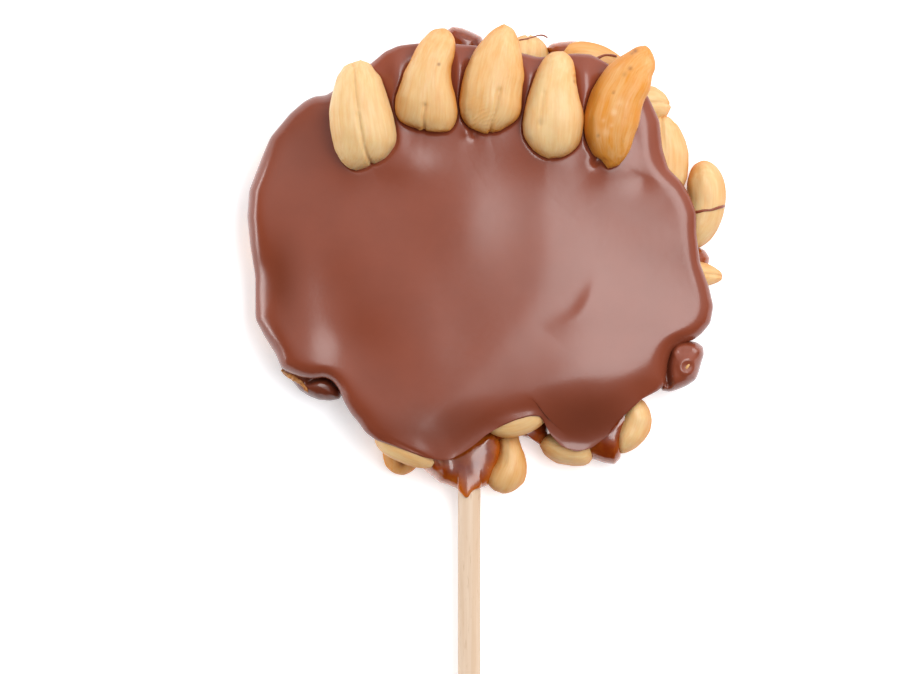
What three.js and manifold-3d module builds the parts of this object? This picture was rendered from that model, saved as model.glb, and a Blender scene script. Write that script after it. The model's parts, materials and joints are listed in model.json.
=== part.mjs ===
// Cashew and caramel lollipop: nuts bound in caramel on a round wooden stick, with a poured coat of milk
// chocolate. It lies on its back with the coated side up, and the stick points to -Y.
// Millimetres, +Z up. The origin is the middle of the head, on the surface that it rests on.
import * as THREE from "three";
import { mergeVertices } from "three/addons/utils/BufferGeometryUtils.js";
import Module from "manifold-3d";

// Driving dimensions
const GAP = 0.3;
const MEAN_RADIUS = 49;
const CORE_HEIGHT = 12.4;
const COAT_TOP = 17;
const COAT_CROWN = 1.2;
const SIDE_COVER = 3.5;
const STICK = { diameter: 5.1, length: 140, x: -2.4, z: 6.5, innerEnd: -4, endRadius: 0.6 };
const NUT_CLEARANCE = 0.35;
const UNDERSIDE_OPENING = 2.3;
const ROOM_SIDES = 8;
const ROOM_RINGS = 6;
const ROOM_EXTRA = 0.55;

// Stretches of the head's edge, each from one bearing to another in degrees from +X, with how far each end
// fades.
// The coat's edge, in millimetres beyond the mean radius.
const COAT_EDGE = [
  { what: "straight run behind the claws", from: 66, to: 99, by: -3.9, fadeIn: 1.8, fadeOut: 5 },
  { what: "hump beside the last claw", from: 37.5, to: 64.5, by: 1.9, fadeIn: 2.5, fadeOut: 1.2 },
  { what: "dip over the right-hand nuts", from: 18, to: 31, by: -3.1, fadeIn: 2.6, fadeOut: 2.2 },
  { what: "upper left shoulder", from: 138.5, to: 178, by: 4.4, fadeIn: 2.2, fadeOut: 4 },
  { what: "left shoulder", from: 189, to: 215.5, by: 3.2, fadeIn: 3.5, fadeOut: 0.8 },
  { what: "torn corner", from: 215.5, to: 228.5, by: -4.9, fadeIn: 0.8, fadeOut: 1.2 },
  { what: "edge after the corner", from: 228.5, to: 236, by: -1.6, fadeIn: 1.2, fadeOut: 1.5 },
  { what: "lower left lobe", from: 236, to: 265, by: -0.6, fadeIn: 1, fadeOut: 2 },
  { what: "notch by the stick", from: 268.5, to: 291.3, by: -10.2, fadeIn: 3, fadeOut: 0.6 },
  { what: "lower right lobe", from: 295, to: 309, by: 2, fadeIn: 1.6, fadeOut: 2.5 },
  { what: "shoulder over the knob", from: 321, to: 329, by: 1.7, fadeIn: 0.8, fadeOut: 1.2 },
  { what: "right lobe", from: 337.4, to: 352, by: 5.6, fadeIn: 0.6, fadeOut: 2.2 },
];
const COAT_EXTRA_BEARINGS = [215.4, 228.4, 290.6, 291.8, 293, 336.8, 338];
// The lowest point of the coat's edge: its height on the covered side, and how much more over bare nuts.
const COAT_LIP = 6;
const COAT_LIP_RISES = [
  { what: "claws", from: 62, to: 121, by: 5.4, fadeIn: 3, fadeOut: 4 },
  { what: "right-hand nuts", from: -7, to: 62, by: 5.6, fadeIn: 2.5, fadeOut: 3 },
  { what: "torn corner", from: 214, to: 229, by: 4, fadeIn: 1.2, fadeOut: 2 },
  { what: "lower left nuts", from: 238, to: 266, by: 6.2, fadeIn: 3, fadeOut: 3 },
  { what: "notch by the stick", from: 266, to: 292, by: 7.6, fadeIn: 3, fadeOut: 1 },
  { what: "lower right nuts", from: 292, to: 321, by: 4.6, fadeIn: 1, fadeOut: 1.5 },
];
// The caramel's edge, beyond the line that lies one side cover inside the coat's edge.
const CARAMEL_EDGE = [
  { what: "drip on the stick", from: 255.7, to: 273, by: 7.4, fadeIn: 1, fadeOut: 0.8 },
  { what: "drip past the notch", from: 268.5, to: 273, by: 10.2, fadeIn: 3, fadeOut: 0.8 },
  { what: "point of the drip", from: 265.2, to: 268, by: 2.6, fadeIn: 0.5, fadeOut: 0.5 },
  { what: "under the notch", from: 273.2, to: 289.5, by: 5.2, fadeIn: 1, fadeOut: 1 },
  { what: "between the lower right nuts", from: 299, to: 305.5, by: 9.4, fadeIn: 0.8, fadeOut: 0.8 },
  { what: "beside the small right nut", from: 353.5, to: 358, by: 5.4, fadeIn: 0.8, fadeOut: 0.8 },
  { what: "strip behind the last claws", from: 63, to: 72, by: 6.4, fadeIn: 1, fadeOut: 1 },
  { what: "strip behind the middle claws", from: 88, to: 100.5, by: 8, fadeIn: 0.8, fadeOut: 1.2 },
];
const CARAMEL_EXTRA_BEARINGS = [66.5, 92.5, 257.5, 263, 266.5, 268, 272.5, 274, 298.5, 302, 306, 356];

// Soft rises (+) and hollows (-) of the coat's top, each round a point, with its half width along X and Y.
const COAT_RELIEF = [
  { what: "hollow on the left", at: [-43.4, -7], size: [5, 11], by: -0.9 },
  { what: "ridge on the left", at: [-35, -20], size: [5.5, 9], by: 0.7 },
  { what: "hollow left of the middle", at: [-25, -12], size: [6, 7], by: -0.6 },
  { what: "lower left lobe", at: [-8, -40], size: [10, 8], by: 0.7 },
  { what: "lower right lobe", at: [23, -38], size: [9, 8], by: 0.9 },
  { what: "hump between claws 1 and 2", at: [-19.5, 37], size: [2.6, 7], by: 1.1 },
  { what: "hump between claws 2 and 3", at: [-4.6, 38], size: [2.4, 7], by: 1.2 },
  { what: "hump between claws 3 and 4", at: [11, 36], size: [2.4, 7], by: 1.1 },
  { what: "hump between claws 4 and 5", at: [25, 36], size: [2.6, 7], by: 1.2 },
  { what: "hump right of claw 5", at: [38, 30], size: [2.8, 8], by: 1 },
];

// Every nut lies from its wide base to its narrower tip. roll is 0 with its back up and 90 with its back to
// the left. blunt is how square its base is, and bend how far its middle stands out from a straight line.
const CLAW = { z: 17.9, roll: 0, depth: 10, bend: 3.2, sides: 12, rings: 9 };
const RIM = {
  z: 6, roll: 90,
  width: 10.5, depth: 9, bend: 2.2, taper: 0.12, blunt: 2.6, sides: 10, rings: 8,
};
const HIDDEN = {
  z: 5.3, roll: 90,
  width: 9.8, depth: 8.8, bend: 2.8, taper: 0.12, blunt: 2.6, sides: 8, rings: 6,
};
const LEFT_CLAW = { ...CLAW, width: 14.5, roll: -16, taper: 0.03, blunt: 2.4 };
const RIGHT_CLAW = { ...CLAW, width: 14, roll: 38, bend: 4.5, taper: 0.1, blunt: 2.6, z: 18.6 };
const NUTS = [
  { ...LEFT_CLAW, name: "claw_1", base: [-26.6, 17.7], tip: [-27.4, 42.7] },
  { ...CLAW, name: "claw_2", base: [-12.9, 26.6], tip: [-8.9, 50], width: 14.1, taper: 0.33, blunt: 3.6 },
  { ...CLAW, name: "claw_3", base: [1.1, 26.1], tip: [5.7, 50.8], width: 14.6, taper: 0.28, blunt: 2.8 },
  { ...CLAW, name: "claw_4", base: [15.9, 21], tip: [18.7, 44.9], width: 13.2, taper: 0.3, blunt: 3 },
  { ...RIGHT_CLAW, name: "claw_5", base: [28.7, 18.7], tip: [36.5, 45.9] },
  {
    ...RIM, name: "back_nut_1", base: [11.2, 48.6], tip: [9.9, 31.5],
    z: 5.3, roll: 0, width: 10.2, bend: 2,
  },
  { ...RIM, name: "back_nut_2", base: [17.4, 43.6], tip: [33.8, 39.4], depth: 8.6 },
  {
    ...RIM, name: "right_nut_1", base: [26.6, 31.6], tip: [43.6, 33.3],
    z: 5.4, roll: 0, width: 8.6, bend: 2,
  },
  {
    ...RIM, name: "right_nut_2", base: [42.1, 28.6], tip: [39.7, 8],
    z: 5.6, roll: 0, width: 12.2, blunt: 3,
  },
  { ...RIM, name: "right_nut_3", base: [51, 19.8], tip: [48.3, 0.4], width: 11.4, depth: 8.8, bend: 3 },
  {
    ...RIM, name: "right_nut_4", base: [36.5, -4.4], tip: [54.9, -5.9],
    z: 4.9, roll: 0, width: 8.4, taper: 0.3,
  },
  { ...RIM, name: "lower_right_nut_1", base: [35.4, -31.6], tip: [31.6, -47], bend: 2.4 },
  { ...RIM, name: "lower_right_nut_2", base: [27.2, -43.3], tip: [13.2, -42.9], bend: 2.4, depth: 9.2 },
  {
    ...RIM, name: "bottom_nut_1", base: [5.8, -54.9], tip: [7.6, -40.4],
    z: 4.8, roll: 0, width: 9.2, taper: 0.35,
  },
  {
    ...RIM, name: "bottom_nut_2", base: [1.2, -38.8], tip: [16, -34.7],
    z: 10.4, roll: -90, width: 6.8, depth: 8.2,
  },
  {
    ...RIM, name: "bottom_nut_3", base: [-18.4, -50.5], tip: [-16.2, -34],
    z: 3.9, roll: 0, width: 9.2, depth: 6.2,
  },
  {
    ...RIM, name: "bottom_nut_4", base: [-22.9, -40.8], tip: [-8.8, -47.6],
    z: 10.7, roll: 0, width: 8.6, depth: 6.2,
  },
];
// Nuts that show only below the coat's edge and in the underside, by the bearing of their middle.
const LEFT_RIM_BEARINGS = [105, 130, 154, 176.6, 199.3];
const LEFT_RIM_INSET = 7.5;
const OUTER_RING = { radius: 28, bearings: [14, 57, 101, 145, 189, 231, 297, 336] };
const INNER_RING = { radius: 13.6, bearings: [12, 96, 176] };
const HIDDEN_NUT_LENGTH = 17;

// The two places where the coat wraps one nut: the knob, with the nut's back bare, and the torn corner.
const WRAPPED = { ...RIM, roll: -90, rings: 7 };
const KNOB = {
  ...WRAPPED, base: [38.6, -29.6], tip: [50.2, -20.4], z: 7.2,
  width: 9.4, bend: 1.8, blunt: 3,
};
const KNOB_NUT = {
  ...WRAPPED, base: [42.4, -29.1], tip: [49.3, -23.4], z: 8.6,
  width: 6.6, depth: 5.4, bend: 0.8,
};
const CORNER_NUT = {
  ...WRAPPED, base: [-45.3, -24.4], tip: [-30.2, -32.4], z: 5.2,
  width: 9, depth: 8.4, bend: 1.8,
};

const COLOURS = { chocolate: 0x9b5c4e, caramel: 0x963c14, nut: 0xf0c890, wood: 0xf0d7b9 };

const COAT_BEARINGS = 90;
const CARAMEL_BEARINGS = 66;
const STICK_SIDES = 20;

const toRadians = THREE.MathUtils.degToRad;
const wasm = await Module();
wasm.setup();

// 0 well before the bearing and 1 well after it
function fade(degrees, width) {
  return 1 / (1 + Math.exp(-degrees / width));
}

// Sum of the stretches that cover a bearing
function sumOfStretches(stretches, bearing) {
  let sum = 0;
  for (const { from, to, by, fadeIn, fadeOut } of stretches) {
    for (const turn of [-360, 0, 360]) {
      const b = bearing + turn;
      sum += by * (fade(b - from, fadeIn) - fade(b - to, fadeOut));
    }
  }
  return sum;
}

const coatEdge = (bearing) => MEAN_RADIUS + sumOfStretches(COAT_EDGE, bearing);
const coatLip = (bearing) => COAT_LIP + sumOfStretches(COAT_LIP_RISES, bearing);
const caramelEdge = (bearing) => coatEdge(bearing) - SIDE_COVER + sumOfStretches(CARAMEL_EDGE, bearing);

// Height of the coat's top before its edge rolls down
function coatTop(x, y) {
  let z = COAT_TOP - COAT_CROWN * ((x * x + y * y) / (MEAN_RADIUS * MEAN_RADIUS));
  for (const { at, size, by } of COAT_RELIEF) {
    z += by * Math.exp(-(((x - at[0]) / size[0]) ** 2) - ((y - at[1]) / size[1]) ** 2);
  }
  return z;
}

// Bearings all round, evenly spaced, with more of them where the edge turns sharply
function bearings(count, extra) {
  const even = Array.from({ length: count }, (unused, i) => (360 * i) / count);
  const added = extra.filter((b) => even.every((e) => Math.abs(e - b) > 0.7));
  return [...even, ...added].sort((a, b) => a - b);
}

// Closed solid from rows of points round the Z axis. rowAt gives one bearing's [radius, height] pairs from
// top to bottom.
function polarSolid(bearingList, rowAt, topHeight, bottomHeight) {
  const positions = [0, 0, topHeight];
  const indices = [];
  const rows = bearingList.map(rowAt);
  const depth = rows[0].length;
  rows.forEach((row, i) => {
    const angle = toRadians(bearingList[i]);
    row.forEach(([r, z]) => positions.push(r * Math.cos(angle), r * Math.sin(angle), z));
  });
  const bottom = positions.length / 3;
  positions.push(0, 0, bottomHeight);
  const vertex = (sector, k) => 1 + (sector % rows.length) * depth + k;
  for (let i = 0; i < rows.length; i++) {
    indices.push(0, vertex(i, 0), vertex(i + 1, 0));
    for (let k = 0; k < depth - 1; k++) {
      indices.push(vertex(i, k), vertex(i, k + 1), vertex(i + 1, k + 1));
      indices.push(vertex(i, k), vertex(i + 1, k + 1), vertex(i + 1, k));
    }
    indices.push(vertex(i, depth - 1), bottom, vertex(i + 1, depth - 1));
  }
  const geometry = new THREE.BufferGeometry();
  geometry.setAttribute("position", new THREE.Float32BufferAttribute(positions, 3));
  geometry.setIndex(indices);
  return geometry;
}

// One bearing of the coat: crowned top, rolled edge, lip, and a flat inside that the caramel is cut out of.
// The roll is wider the further the coat falls to its lip, and the coat is widest a share of the way up.
const TOP_STEPS = [0.2, 0.4, 0.58, 0.74, 0.88, 1];
const ROLL_STEPS = [28, 56, 90];
const ROLL_WIDTH = { least: 2.6, perFall: 0.5 };
const WIDEST_SHARE = 0.4;
const LIP_CURVE = { inset: 0.5, share: 0.4 };
const LIP_INSET = 1.7;
const COAT_INSIDE = { inset: 5, height: 5.5, lipRise: 1 };
function coatRow(bearing) {
  const angle = toRadians(bearing);
  const edge = coatEdge(bearing);
  const lip = coatLip(bearing);
  const roll = ROLL_WIDTH.least + ROLL_WIDTH.perFall * (COAT_TOP - lip);
  const rollStart = edge - roll;
  const heightAt = (r) => coatTop(r * Math.cos(angle), r * Math.sin(angle));
  const row = TOP_STEPS.map((step) => [step * rollStart, heightAt(step * rollStart)]);
  const shoulder = heightAt(rollStart);
  const widest = lip + WIDEST_SHARE * (shoulder - lip);
  for (const step of ROLL_STEPS) {
    const turn = toRadians(step);
    row.push([rollStart + roll * Math.sin(turn), widest + (shoulder - widest) * Math.cos(turn)]);
  }
  row.push([edge - LIP_CURVE.inset, lip + LIP_CURVE.share * (widest - lip)]);
  row.push([edge - LIP_INSET, lip]);
  row.push([edge - COAT_INSIDE.inset, Math.min(lip, COAT_INSIDE.height + COAT_INSIDE.lipRise)]);
  return row;
}

// One bearing of the caramel, grown by the gap where it serves to cut the coat. Its side is given as how far
// inside the edge and below the top each point lies, and how much lower or higher that is where the drip is.
const DRIP_BODY = [{ what: "drip", from: 257, to: 273.5, by: 1, fadeIn: 1, fadeOut: 1 }];
const CARAMEL_FLAT_SHARE = 0.55;
const CARAMEL_SIDE = [
  { inset: 5.5, below: 0.5, dripRise: -0.9 },
  { inset: 2.4, below: 2.2, dripRise: 0.5 },
  { inset: 0.6, below: 5, dripRise: 2.6 },
  { inset: 0, below: 8, dripRise: 2 },
];
const CARAMEL_FOOT_INSET = 1.2;
function caramelRow(bearing, grow) {
  const edge = caramelEdge(bearing) + grow;
  const top = CORE_HEIGHT + grow;
  const body = sumOfStretches(DRIP_BODY, bearing);
  const row = [[edge * CARAMEL_FLAT_SHARE, top]];
  for (const { inset, below, dripRise } of CARAMEL_SIDE) {
    row.push([edge - inset, top - below + dripRise * body]);
  }
  row.push([edge - CARAMEL_FOOT_INSET, 0]);
  return row;
}

// Cashew about its own middle: base to tip along X, its back towards +Z, with the split as a groove along the
// back. Its fullest place is looked for in steps along its length.
const GROOVE_DEPTH = 0.6;
const TIP_ROUNDNESS = 2.4;
const FULLNESS_STEP = 0.05;
function cashew(length, { width, depth, bend, taper, blunt, sides, rings }, grow = 0) {
  const arcRadius = (length * length) / (8 * bend) + bend / 2;
  const arcHalf = Math.asin(length / 2 / arcRadius);
  const fullness = (t) => {
    const power = t < 0 ? blunt : TIP_ROUNDNESS;
    return Math.sqrt(1 - Math.abs(t) ** power) * (1 - taper * t);
  };
  let fullest = 0;
  for (let t = FULLNESS_STEP - 1; t < 1; t += FULLNESS_STEP) {
    fullest = Math.max(fullest, fullness(t));
  }
  const spine = (t, out) => {
    const a = t * arcHalf;
    const r = arcRadius + out;
    return [r * Math.sin(a), r * Math.cos(a) - arcRadius + bend / 2];
  };
  const ends = [-1, 1].map((t) => {
    const [x, z] = spine(t, 0);
    return [x + t * grow * Math.cos(arcHalf), 0, z - grow * Math.sin(arcHalf)];
  });
  const positions = [...ends[0]];
  for (let i = 1; i < rings; i++) {
    const t = -Math.cos((Math.PI * i) / rings);
    const size = fullness(t) / fullest;
    for (let j = 0; j < sides; j++) {
      const a = (2 * Math.PI * j) / sides;
      const groove = j === 0 ? GROOVE_DEPTH * size : 0;
      const out = ((depth / 2) * size + grow - groove) * Math.cos(a);
      const [x, z] = spine(t, out);
      positions.push(x, ((width / 2) * size + grow) * Math.sin(a), z);
    }
  }
  const last = positions.length / 3;
  positions.push(...ends[1]);
  const vertex = (ring, j) => 1 + (ring - 1) * sides + (j % sides);
  const indices = [];
  for (let j = 0; j < sides; j++) {
    indices.push(0, vertex(1, j), vertex(1, j + 1));
    for (let ring = 1; ring < rings - 1; ring++) {
      indices.push(vertex(ring, j), vertex(ring + 1, j), vertex(ring + 1, j + 1));
      indices.push(vertex(ring, j), vertex(ring + 1, j + 1), vertex(ring, j + 1));
    }
    indices.push(vertex(rings - 1, j), last, vertex(rings - 1, j + 1));
  }
  const geometry = new THREE.BufferGeometry();
  geometry.setAttribute("position", new THREE.Float32BufferAttribute(positions, 3));
  geometry.setIndex(indices);
  return geometry;
}

// Turns and moves a cashew's geometry to where its base and tip lie
function placedCashew(nut, grow = 0) {
  const [bx, by] = nut.base;
  const [tx, ty] = nut.tip;
  const geometry = cashew(Math.hypot(tx - bx, ty - by), nut, grow);
  const heading = Math.atan2(ty - by, tx - bx);
  const turn = new THREE.Euler(-toRadians(nut.roll), 0, heading, "ZYX");
  geometry.applyMatrix4(new THREE.Matrix4().makeRotationFromEuler(turn));
  geometry.translate((bx + tx) / 2, (by + ty) / 2, nut.z);
  return geometry;
}

// A nut given by its middle and the bearing of its length, lying along the head's edge with its back outwards
function nutRoundTheHead(name, bearing, radius) {
  const middle = [radius * Math.cos(toRadians(bearing)), radius * Math.sin(toRadians(bearing))];
  const along = toRadians(bearing - 90);
  const half = HIDDEN_NUT_LENGTH / 2;
  const step = [half * Math.cos(along), half * Math.sin(along)];
  const base = [middle[0] - step[0], middle[1] - step[1]];
  const tip = [middle[0] + step[0], middle[1] + step[1]];
  return { ...HIDDEN, name, base, tip };
}

// Solids for joins and cuts
function toSolid(geometry) {
  const bare = geometry.clone();
  bare.deleteAttribute("normal");
  bare.deleteAttribute("uv");
  const merged = mergeVertices(bare, 1e-5);
  const mesh = new wasm.Mesh({
    numProp: 3,
    vertProperties: new Float32Array(merged.attributes.position.array),
    triVerts: new Uint32Array(merged.index.array),
  });
  return new wasm.Manifold(mesh);
}

function toGeometry(solid) {
  const { vertProperties, triVerts, numProp } = solid.getMesh();
  const positions = [];
  for (let i = 0; i < vertProperties.length; i += numProp) {
    positions.push(vertProperties[i], vertProperties[i + 1], vertProperties[i + 2]);
  }
  const geometry = new THREE.BufferGeometry();
  geometry.setAttribute("position", new THREE.Float32BufferAttribute(positions, 3));
  geometry.setIndex([...triVerts]);
  return geometry;
}

// The largest of a solid's separate pieces, so that scraps between two cuts are dropped
function largestPiece(solid) {
  return solid.decompose().reduce((a, b) => (b.volume() > a.volume() ? b : a));
}

// The shape that makes room for a nut: grown all round, and deeper below so that it opens in the underside.
// Away from the claws it has fewer sides than the nut, so it is grown by as much more as a side cuts inside
// the round.
function roomFor(nut) {
  const tight = nut.z > CORE_HEIGHT;
  const coarse = { ...nut, sides: ROOM_SIDES, rings: ROOM_RINGS };
  const clearance = tight ? NUT_CLEARANCE : NUT_CLEARANCE + ROOM_EXTRA;
  const geometry = placedCashew(tight ? nut : coarse, clearance);
  const position = geometry.attributes.position;
  for (let i = 0; i < position.count; i++) {
    const below = nut.z - position.getZ(i);
    if (below > 0) {
      position.setZ(i, nut.z - below * (1 + UNDERSIDE_OPENING / nut.z));
    }
  }
  return toSolid(geometry);
}

// Round stick with softened ends, lying along Y
function stickGeometry(grow = 0) {
  const radius = STICK.diameter / 2 + grow;
  const half = STICK.length / 2 + grow;
  const round = STICK.endRadius;
  const profile = [
    new THREE.Vector2(0, -half),
    new THREE.Vector2(radius - round, -half),
    new THREE.Vector2(radius, -half + round),
    new THREE.Vector2(radius, half - round),
    new THREE.Vector2(radius - round, half),
    new THREE.Vector2(0, half),
  ];
  const geometry = new THREE.LatheGeometry(profile, STICK_SIDES);
  geometry.translate(STICK.x, STICK.innerEnd - STICK.length / 2, STICK.z);
  return geometry;
}

function material(colour, roughness) {
  return new THREE.MeshStandardMaterial({ color: colour, roughness, metalness: 0 });
}

function namedMesh(name, geometry, finish) {
  const mesh = new THREE.Mesh(geometry, finish);
  mesh.name = name;
  return mesh;
}

const lollipop = new THREE.Group();
const nutFinish = material(COLOURS.nut, 0.55);
const chocolateFinish = material(COLOURS.chocolate, 0.35);
const caramelFinish = material(COLOURS.caramel, 0.2);

const leftRadius = (bearing) => coatEdge(bearing) - LEFT_RIM_INSET;
const hiddenNuts = [
  ...LEFT_RIM_BEARINGS.map((b, i) => nutRoundTheHead(`left_nut_${i + 1}`, b, leftRadius(b))),
  ...OUTER_RING.bearings.map((b, i) => nutRoundTheHead(`underside_nut_${i + 1}`, b, OUTER_RING.radius)),
  ...INNER_RING.bearings.map((b, i) => nutRoundTheHead(`middle_nut_${i + 1}`, b, INNER_RING.radius)),
];
const bareNuts = [...NUTS, { ...KNOB_NUT, name: "knob_nut" }, ...hiddenNuts];
for (const nut of bareNuts) {
  lollipop.add(namedMesh(nut.name, placedCashew(nut), nutFinish));
}
lollipop.add(namedMesh("corner_nut", placedCashew(CORNER_NUT), chocolateFinish));

const rooms = [...bareNuts, CORNER_NUT].map(roomFor);
const stickRoom = toSolid(stickGeometry(GAP));

const caramelBearings = bearings(CARAMEL_BEARINGS, CARAMEL_EXTRA_BEARINGS);
let caramel = toSolid(polarSolid(caramelBearings, (b) => caramelRow(b, 0), CORE_HEIGHT, 0));
caramel = caramel.subtract(stickRoom);
for (const room of rooms) {
  caramel = caramel.subtract(room);
}
lollipop.add(namedMesh("caramel", toGeometry(largestPiece(caramel)), caramelFinish));

const coatBearings = bearings(COAT_BEARINGS, COAT_EXTRA_BEARINGS);
let coat = toSolid(polarSolid(coatBearings, coatRow, COAT_TOP, COAT_INSIDE.height));
const caramelRoom = polarSolid(caramelBearings, (b) => caramelRow(b, GAP), CORE_HEIGHT + GAP, -1);
coat = coat.add(toSolid(placedCashew(KNOB))).subtract(toSolid(caramelRoom)).subtract(stickRoom);
for (const room of rooms) {
  coat = coat.subtract(room);
}
lollipop.add(namedMesh("chocolate_coat", toGeometry(largestPiece(coat)), chocolateFinish));
lollipop.add(namedMesh("stick", stickGeometry(), material(COLOURS.wood, 0.6)));

export default lollipop;
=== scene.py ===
"""Looks of a cashew and caramel lollipop: roasted nuts, poured chocolate, caramel and a birch stick.

Tables and working arrays are in millimetres, +Z up, in the frame of the CAD model. Meshes are in metres.
"""
import json
import math

import bpy
import numpy as np
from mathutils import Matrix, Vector
from mathutils.bvhtree import BVHTree

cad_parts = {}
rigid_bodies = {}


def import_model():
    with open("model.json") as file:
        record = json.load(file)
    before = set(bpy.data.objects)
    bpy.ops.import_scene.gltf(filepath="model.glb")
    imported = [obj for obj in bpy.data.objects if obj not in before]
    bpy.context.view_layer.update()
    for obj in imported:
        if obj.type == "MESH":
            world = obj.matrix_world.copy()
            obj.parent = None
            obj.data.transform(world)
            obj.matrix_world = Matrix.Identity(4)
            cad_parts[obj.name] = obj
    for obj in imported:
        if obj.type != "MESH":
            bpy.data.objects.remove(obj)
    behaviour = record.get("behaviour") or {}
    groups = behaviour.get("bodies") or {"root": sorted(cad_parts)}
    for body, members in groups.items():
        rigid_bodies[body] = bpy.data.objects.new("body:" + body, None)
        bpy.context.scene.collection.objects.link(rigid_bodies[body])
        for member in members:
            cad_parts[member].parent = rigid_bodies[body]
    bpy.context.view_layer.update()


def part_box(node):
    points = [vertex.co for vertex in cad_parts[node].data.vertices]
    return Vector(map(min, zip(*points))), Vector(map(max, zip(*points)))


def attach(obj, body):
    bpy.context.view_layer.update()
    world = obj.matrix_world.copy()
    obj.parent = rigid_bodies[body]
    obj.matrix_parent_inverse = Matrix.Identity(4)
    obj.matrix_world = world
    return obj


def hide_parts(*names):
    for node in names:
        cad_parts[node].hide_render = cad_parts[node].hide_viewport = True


bl_info = {
    "name": "Cashew and caramel lollipop",
    "version": (1, 0, 0),
    "blender": (4, 5, 0),
    "location": "3D View > Sidebar > Lollipop",
    "description": "Dresses the solids of a nut lollipop with chocolate, cashew, caramel and birch",
    "category": "Add Mesh",
}

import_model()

MM = 0.001
TO_MM = 1000

# How the photograph sees the lollipop: straight down, with its scale where the picture is sharpest
PIXEL_MM = 0.225
IMAGE_PIXELS = (916, 674)
HEAD_PIXEL = (480, 250)
SHARP_HEIGHT = 12.0
LENS_MM = 200.0
SENSOR_MM = 36.0
CAMERA_DISTANCE = IMAGE_PIXELS[0] * PIXEL_MM * LENS_MM / SENSOR_MM
CAMERA_SPOT = np.array(
    [(IMAGE_PIXELS[0] / 2 - HEAD_PIXEL[0]) * PIXEL_MM, (HEAD_PIXEL[1] - IMAGE_PIXELS[1] / 2) * PIXEL_MM]
)

# The nuts as in the CAD model, in millimetres: each lies from its wide base to its narrower tip.
# The roll is 0 degrees with the back up, 90 with the back to the left and -90 with it to the right.
CLAW = {"z": 17.9, "roll": 0, "depth": 10, "bend": 3.2}
RIM = {"z": 6, "roll": 90, "width": 10.5, "depth": 9, "bend": 2.2, "taper": 0.12, "blunt": 2.6}
INNER = {"z": 5.3, "roll": 90, "width": 9.8, "depth": 8.8, "bend": 2.8, "taper": 0.12, "blunt": 2.6}


def nut(kind, base, tip, **own):
    """A nut's row: what its kind has in common, where it lies, and what is its own."""
    return {**kind, "base": base, "tip": tip, **own}


NUTS = {
    "claw_1": nut(CLAW, (-26.6, 17.7), (-27.4, 42.7), width=14.5, roll=-16, taper=0.03, blunt=2.4),
    "claw_2": nut(CLAW, (-12.9, 26.6), (-8.9, 50), width=14.1, taper=0.33, blunt=3.6),
    "claw_3": nut(CLAW, (1.1, 26.1), (5.7, 50.8), width=14.6, taper=0.28, blunt=2.8),
    "claw_4": nut(CLAW, (15.9, 21), (18.7, 44.9), width=13.2, taper=0.3, blunt=3),
    "claw_5": nut(
        CLAW, (28.7, 18.7), (36.5, 45.9), z=18.6, roll=38, width=14, bend=4.5, taper=0.1, blunt=2.6,
    ),
    "back_nut_1": nut(RIM, (11.2, 48.6), (9.9, 31.5), z=5.3, roll=0, width=10.2, bend=2),
    "back_nut_2": nut(RIM, (17.4, 43.6), (33.8, 39.4), depth=8.6),
    "right_nut_1": nut(RIM, (26.6, 31.6), (43.6, 33.3), z=5.4, roll=0, width=8.6, bend=2),
    "right_nut_2": nut(RIM, (42.1, 28.6), (39.7, 8), z=5.6, roll=0, width=12.2, blunt=3),
    "right_nut_3": nut(RIM, (51, 19.8), (48.3, 0.4), width=11.4, depth=8.8, bend=3),
    "right_nut_4": nut(RIM, (36.5, -4.4), (54.9, -5.9), z=4.9, roll=0, width=8.4, taper=0.3),
    "lower_right_nut_1": nut(RIM, (35.4, -31.6), (31.6, -47), bend=2.4),
    "lower_right_nut_2": nut(RIM, (27.2, -43.3), (13.2, -42.9), z=5, width=9.4, bend=2.4, depth=9.2),
    "bottom_nut_1": nut(RIM, (5.8, -54.9), (7.6, -40.4), z=4.8, roll=0, width=9.2, taper=0.35),
    "bottom_nut_2": nut(RIM, (1.2, -38.8), (16, -34.7), z=10.4, roll=-90, width=6.8, depth=8.2),
    "bottom_nut_3": nut(RIM, (-18.4, -50.5), (-16.2, -34), z=3.9, roll=0, width=9.2, depth=6.2),
    "bottom_nut_4": nut(RIM, (-22.9, -40.8), (-8.8, -47.6), z=10.7, roll=0, width=8.6, depth=6.2),
}
# The nuts inside, by the bearing of their middle; how far out that is comes from the solid
INNER_NUT_LENGTH = 17.0
INNER_NUT_BEARINGS = {
    "left_nut": (105, 130, 154, 176.6, 199.3),
    "underside_nut": (14, 57, 101, 145, 189, 231, 297, 336),
    "middle_nut": (12, 96, 176),
}


def add_inner_nuts():
    """Adds the nuts inside to the table, each lying square to its bearing."""
    for group, bearings in INNER_NUT_BEARINGS.items():
        for number, bearing in enumerate(bearings, 1):
            name = f"{group}_{number}"
            turn = math.radians(bearing)
            low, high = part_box(name)
            reach = TO_MM / 2 * math.hypot(low.x + high.x, low.y + high.y)
            middle = np.array([math.cos(turn), math.sin(turn)]) * reach
            along = np.array([math.sin(turn), -math.cos(turn)]) * INNER_NUT_LENGTH / 2
            NUTS[name] = nut(INNER, tuple(middle - along), tuple(middle + along))


add_inner_nuts()

# Heights at which lines traced in the photograph lie
CLAW_BACK = 22
OUTLINE_HEIGHT = 18.0
COAT_TOP = 17.0
RIM_HEIGHT = 11

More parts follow.
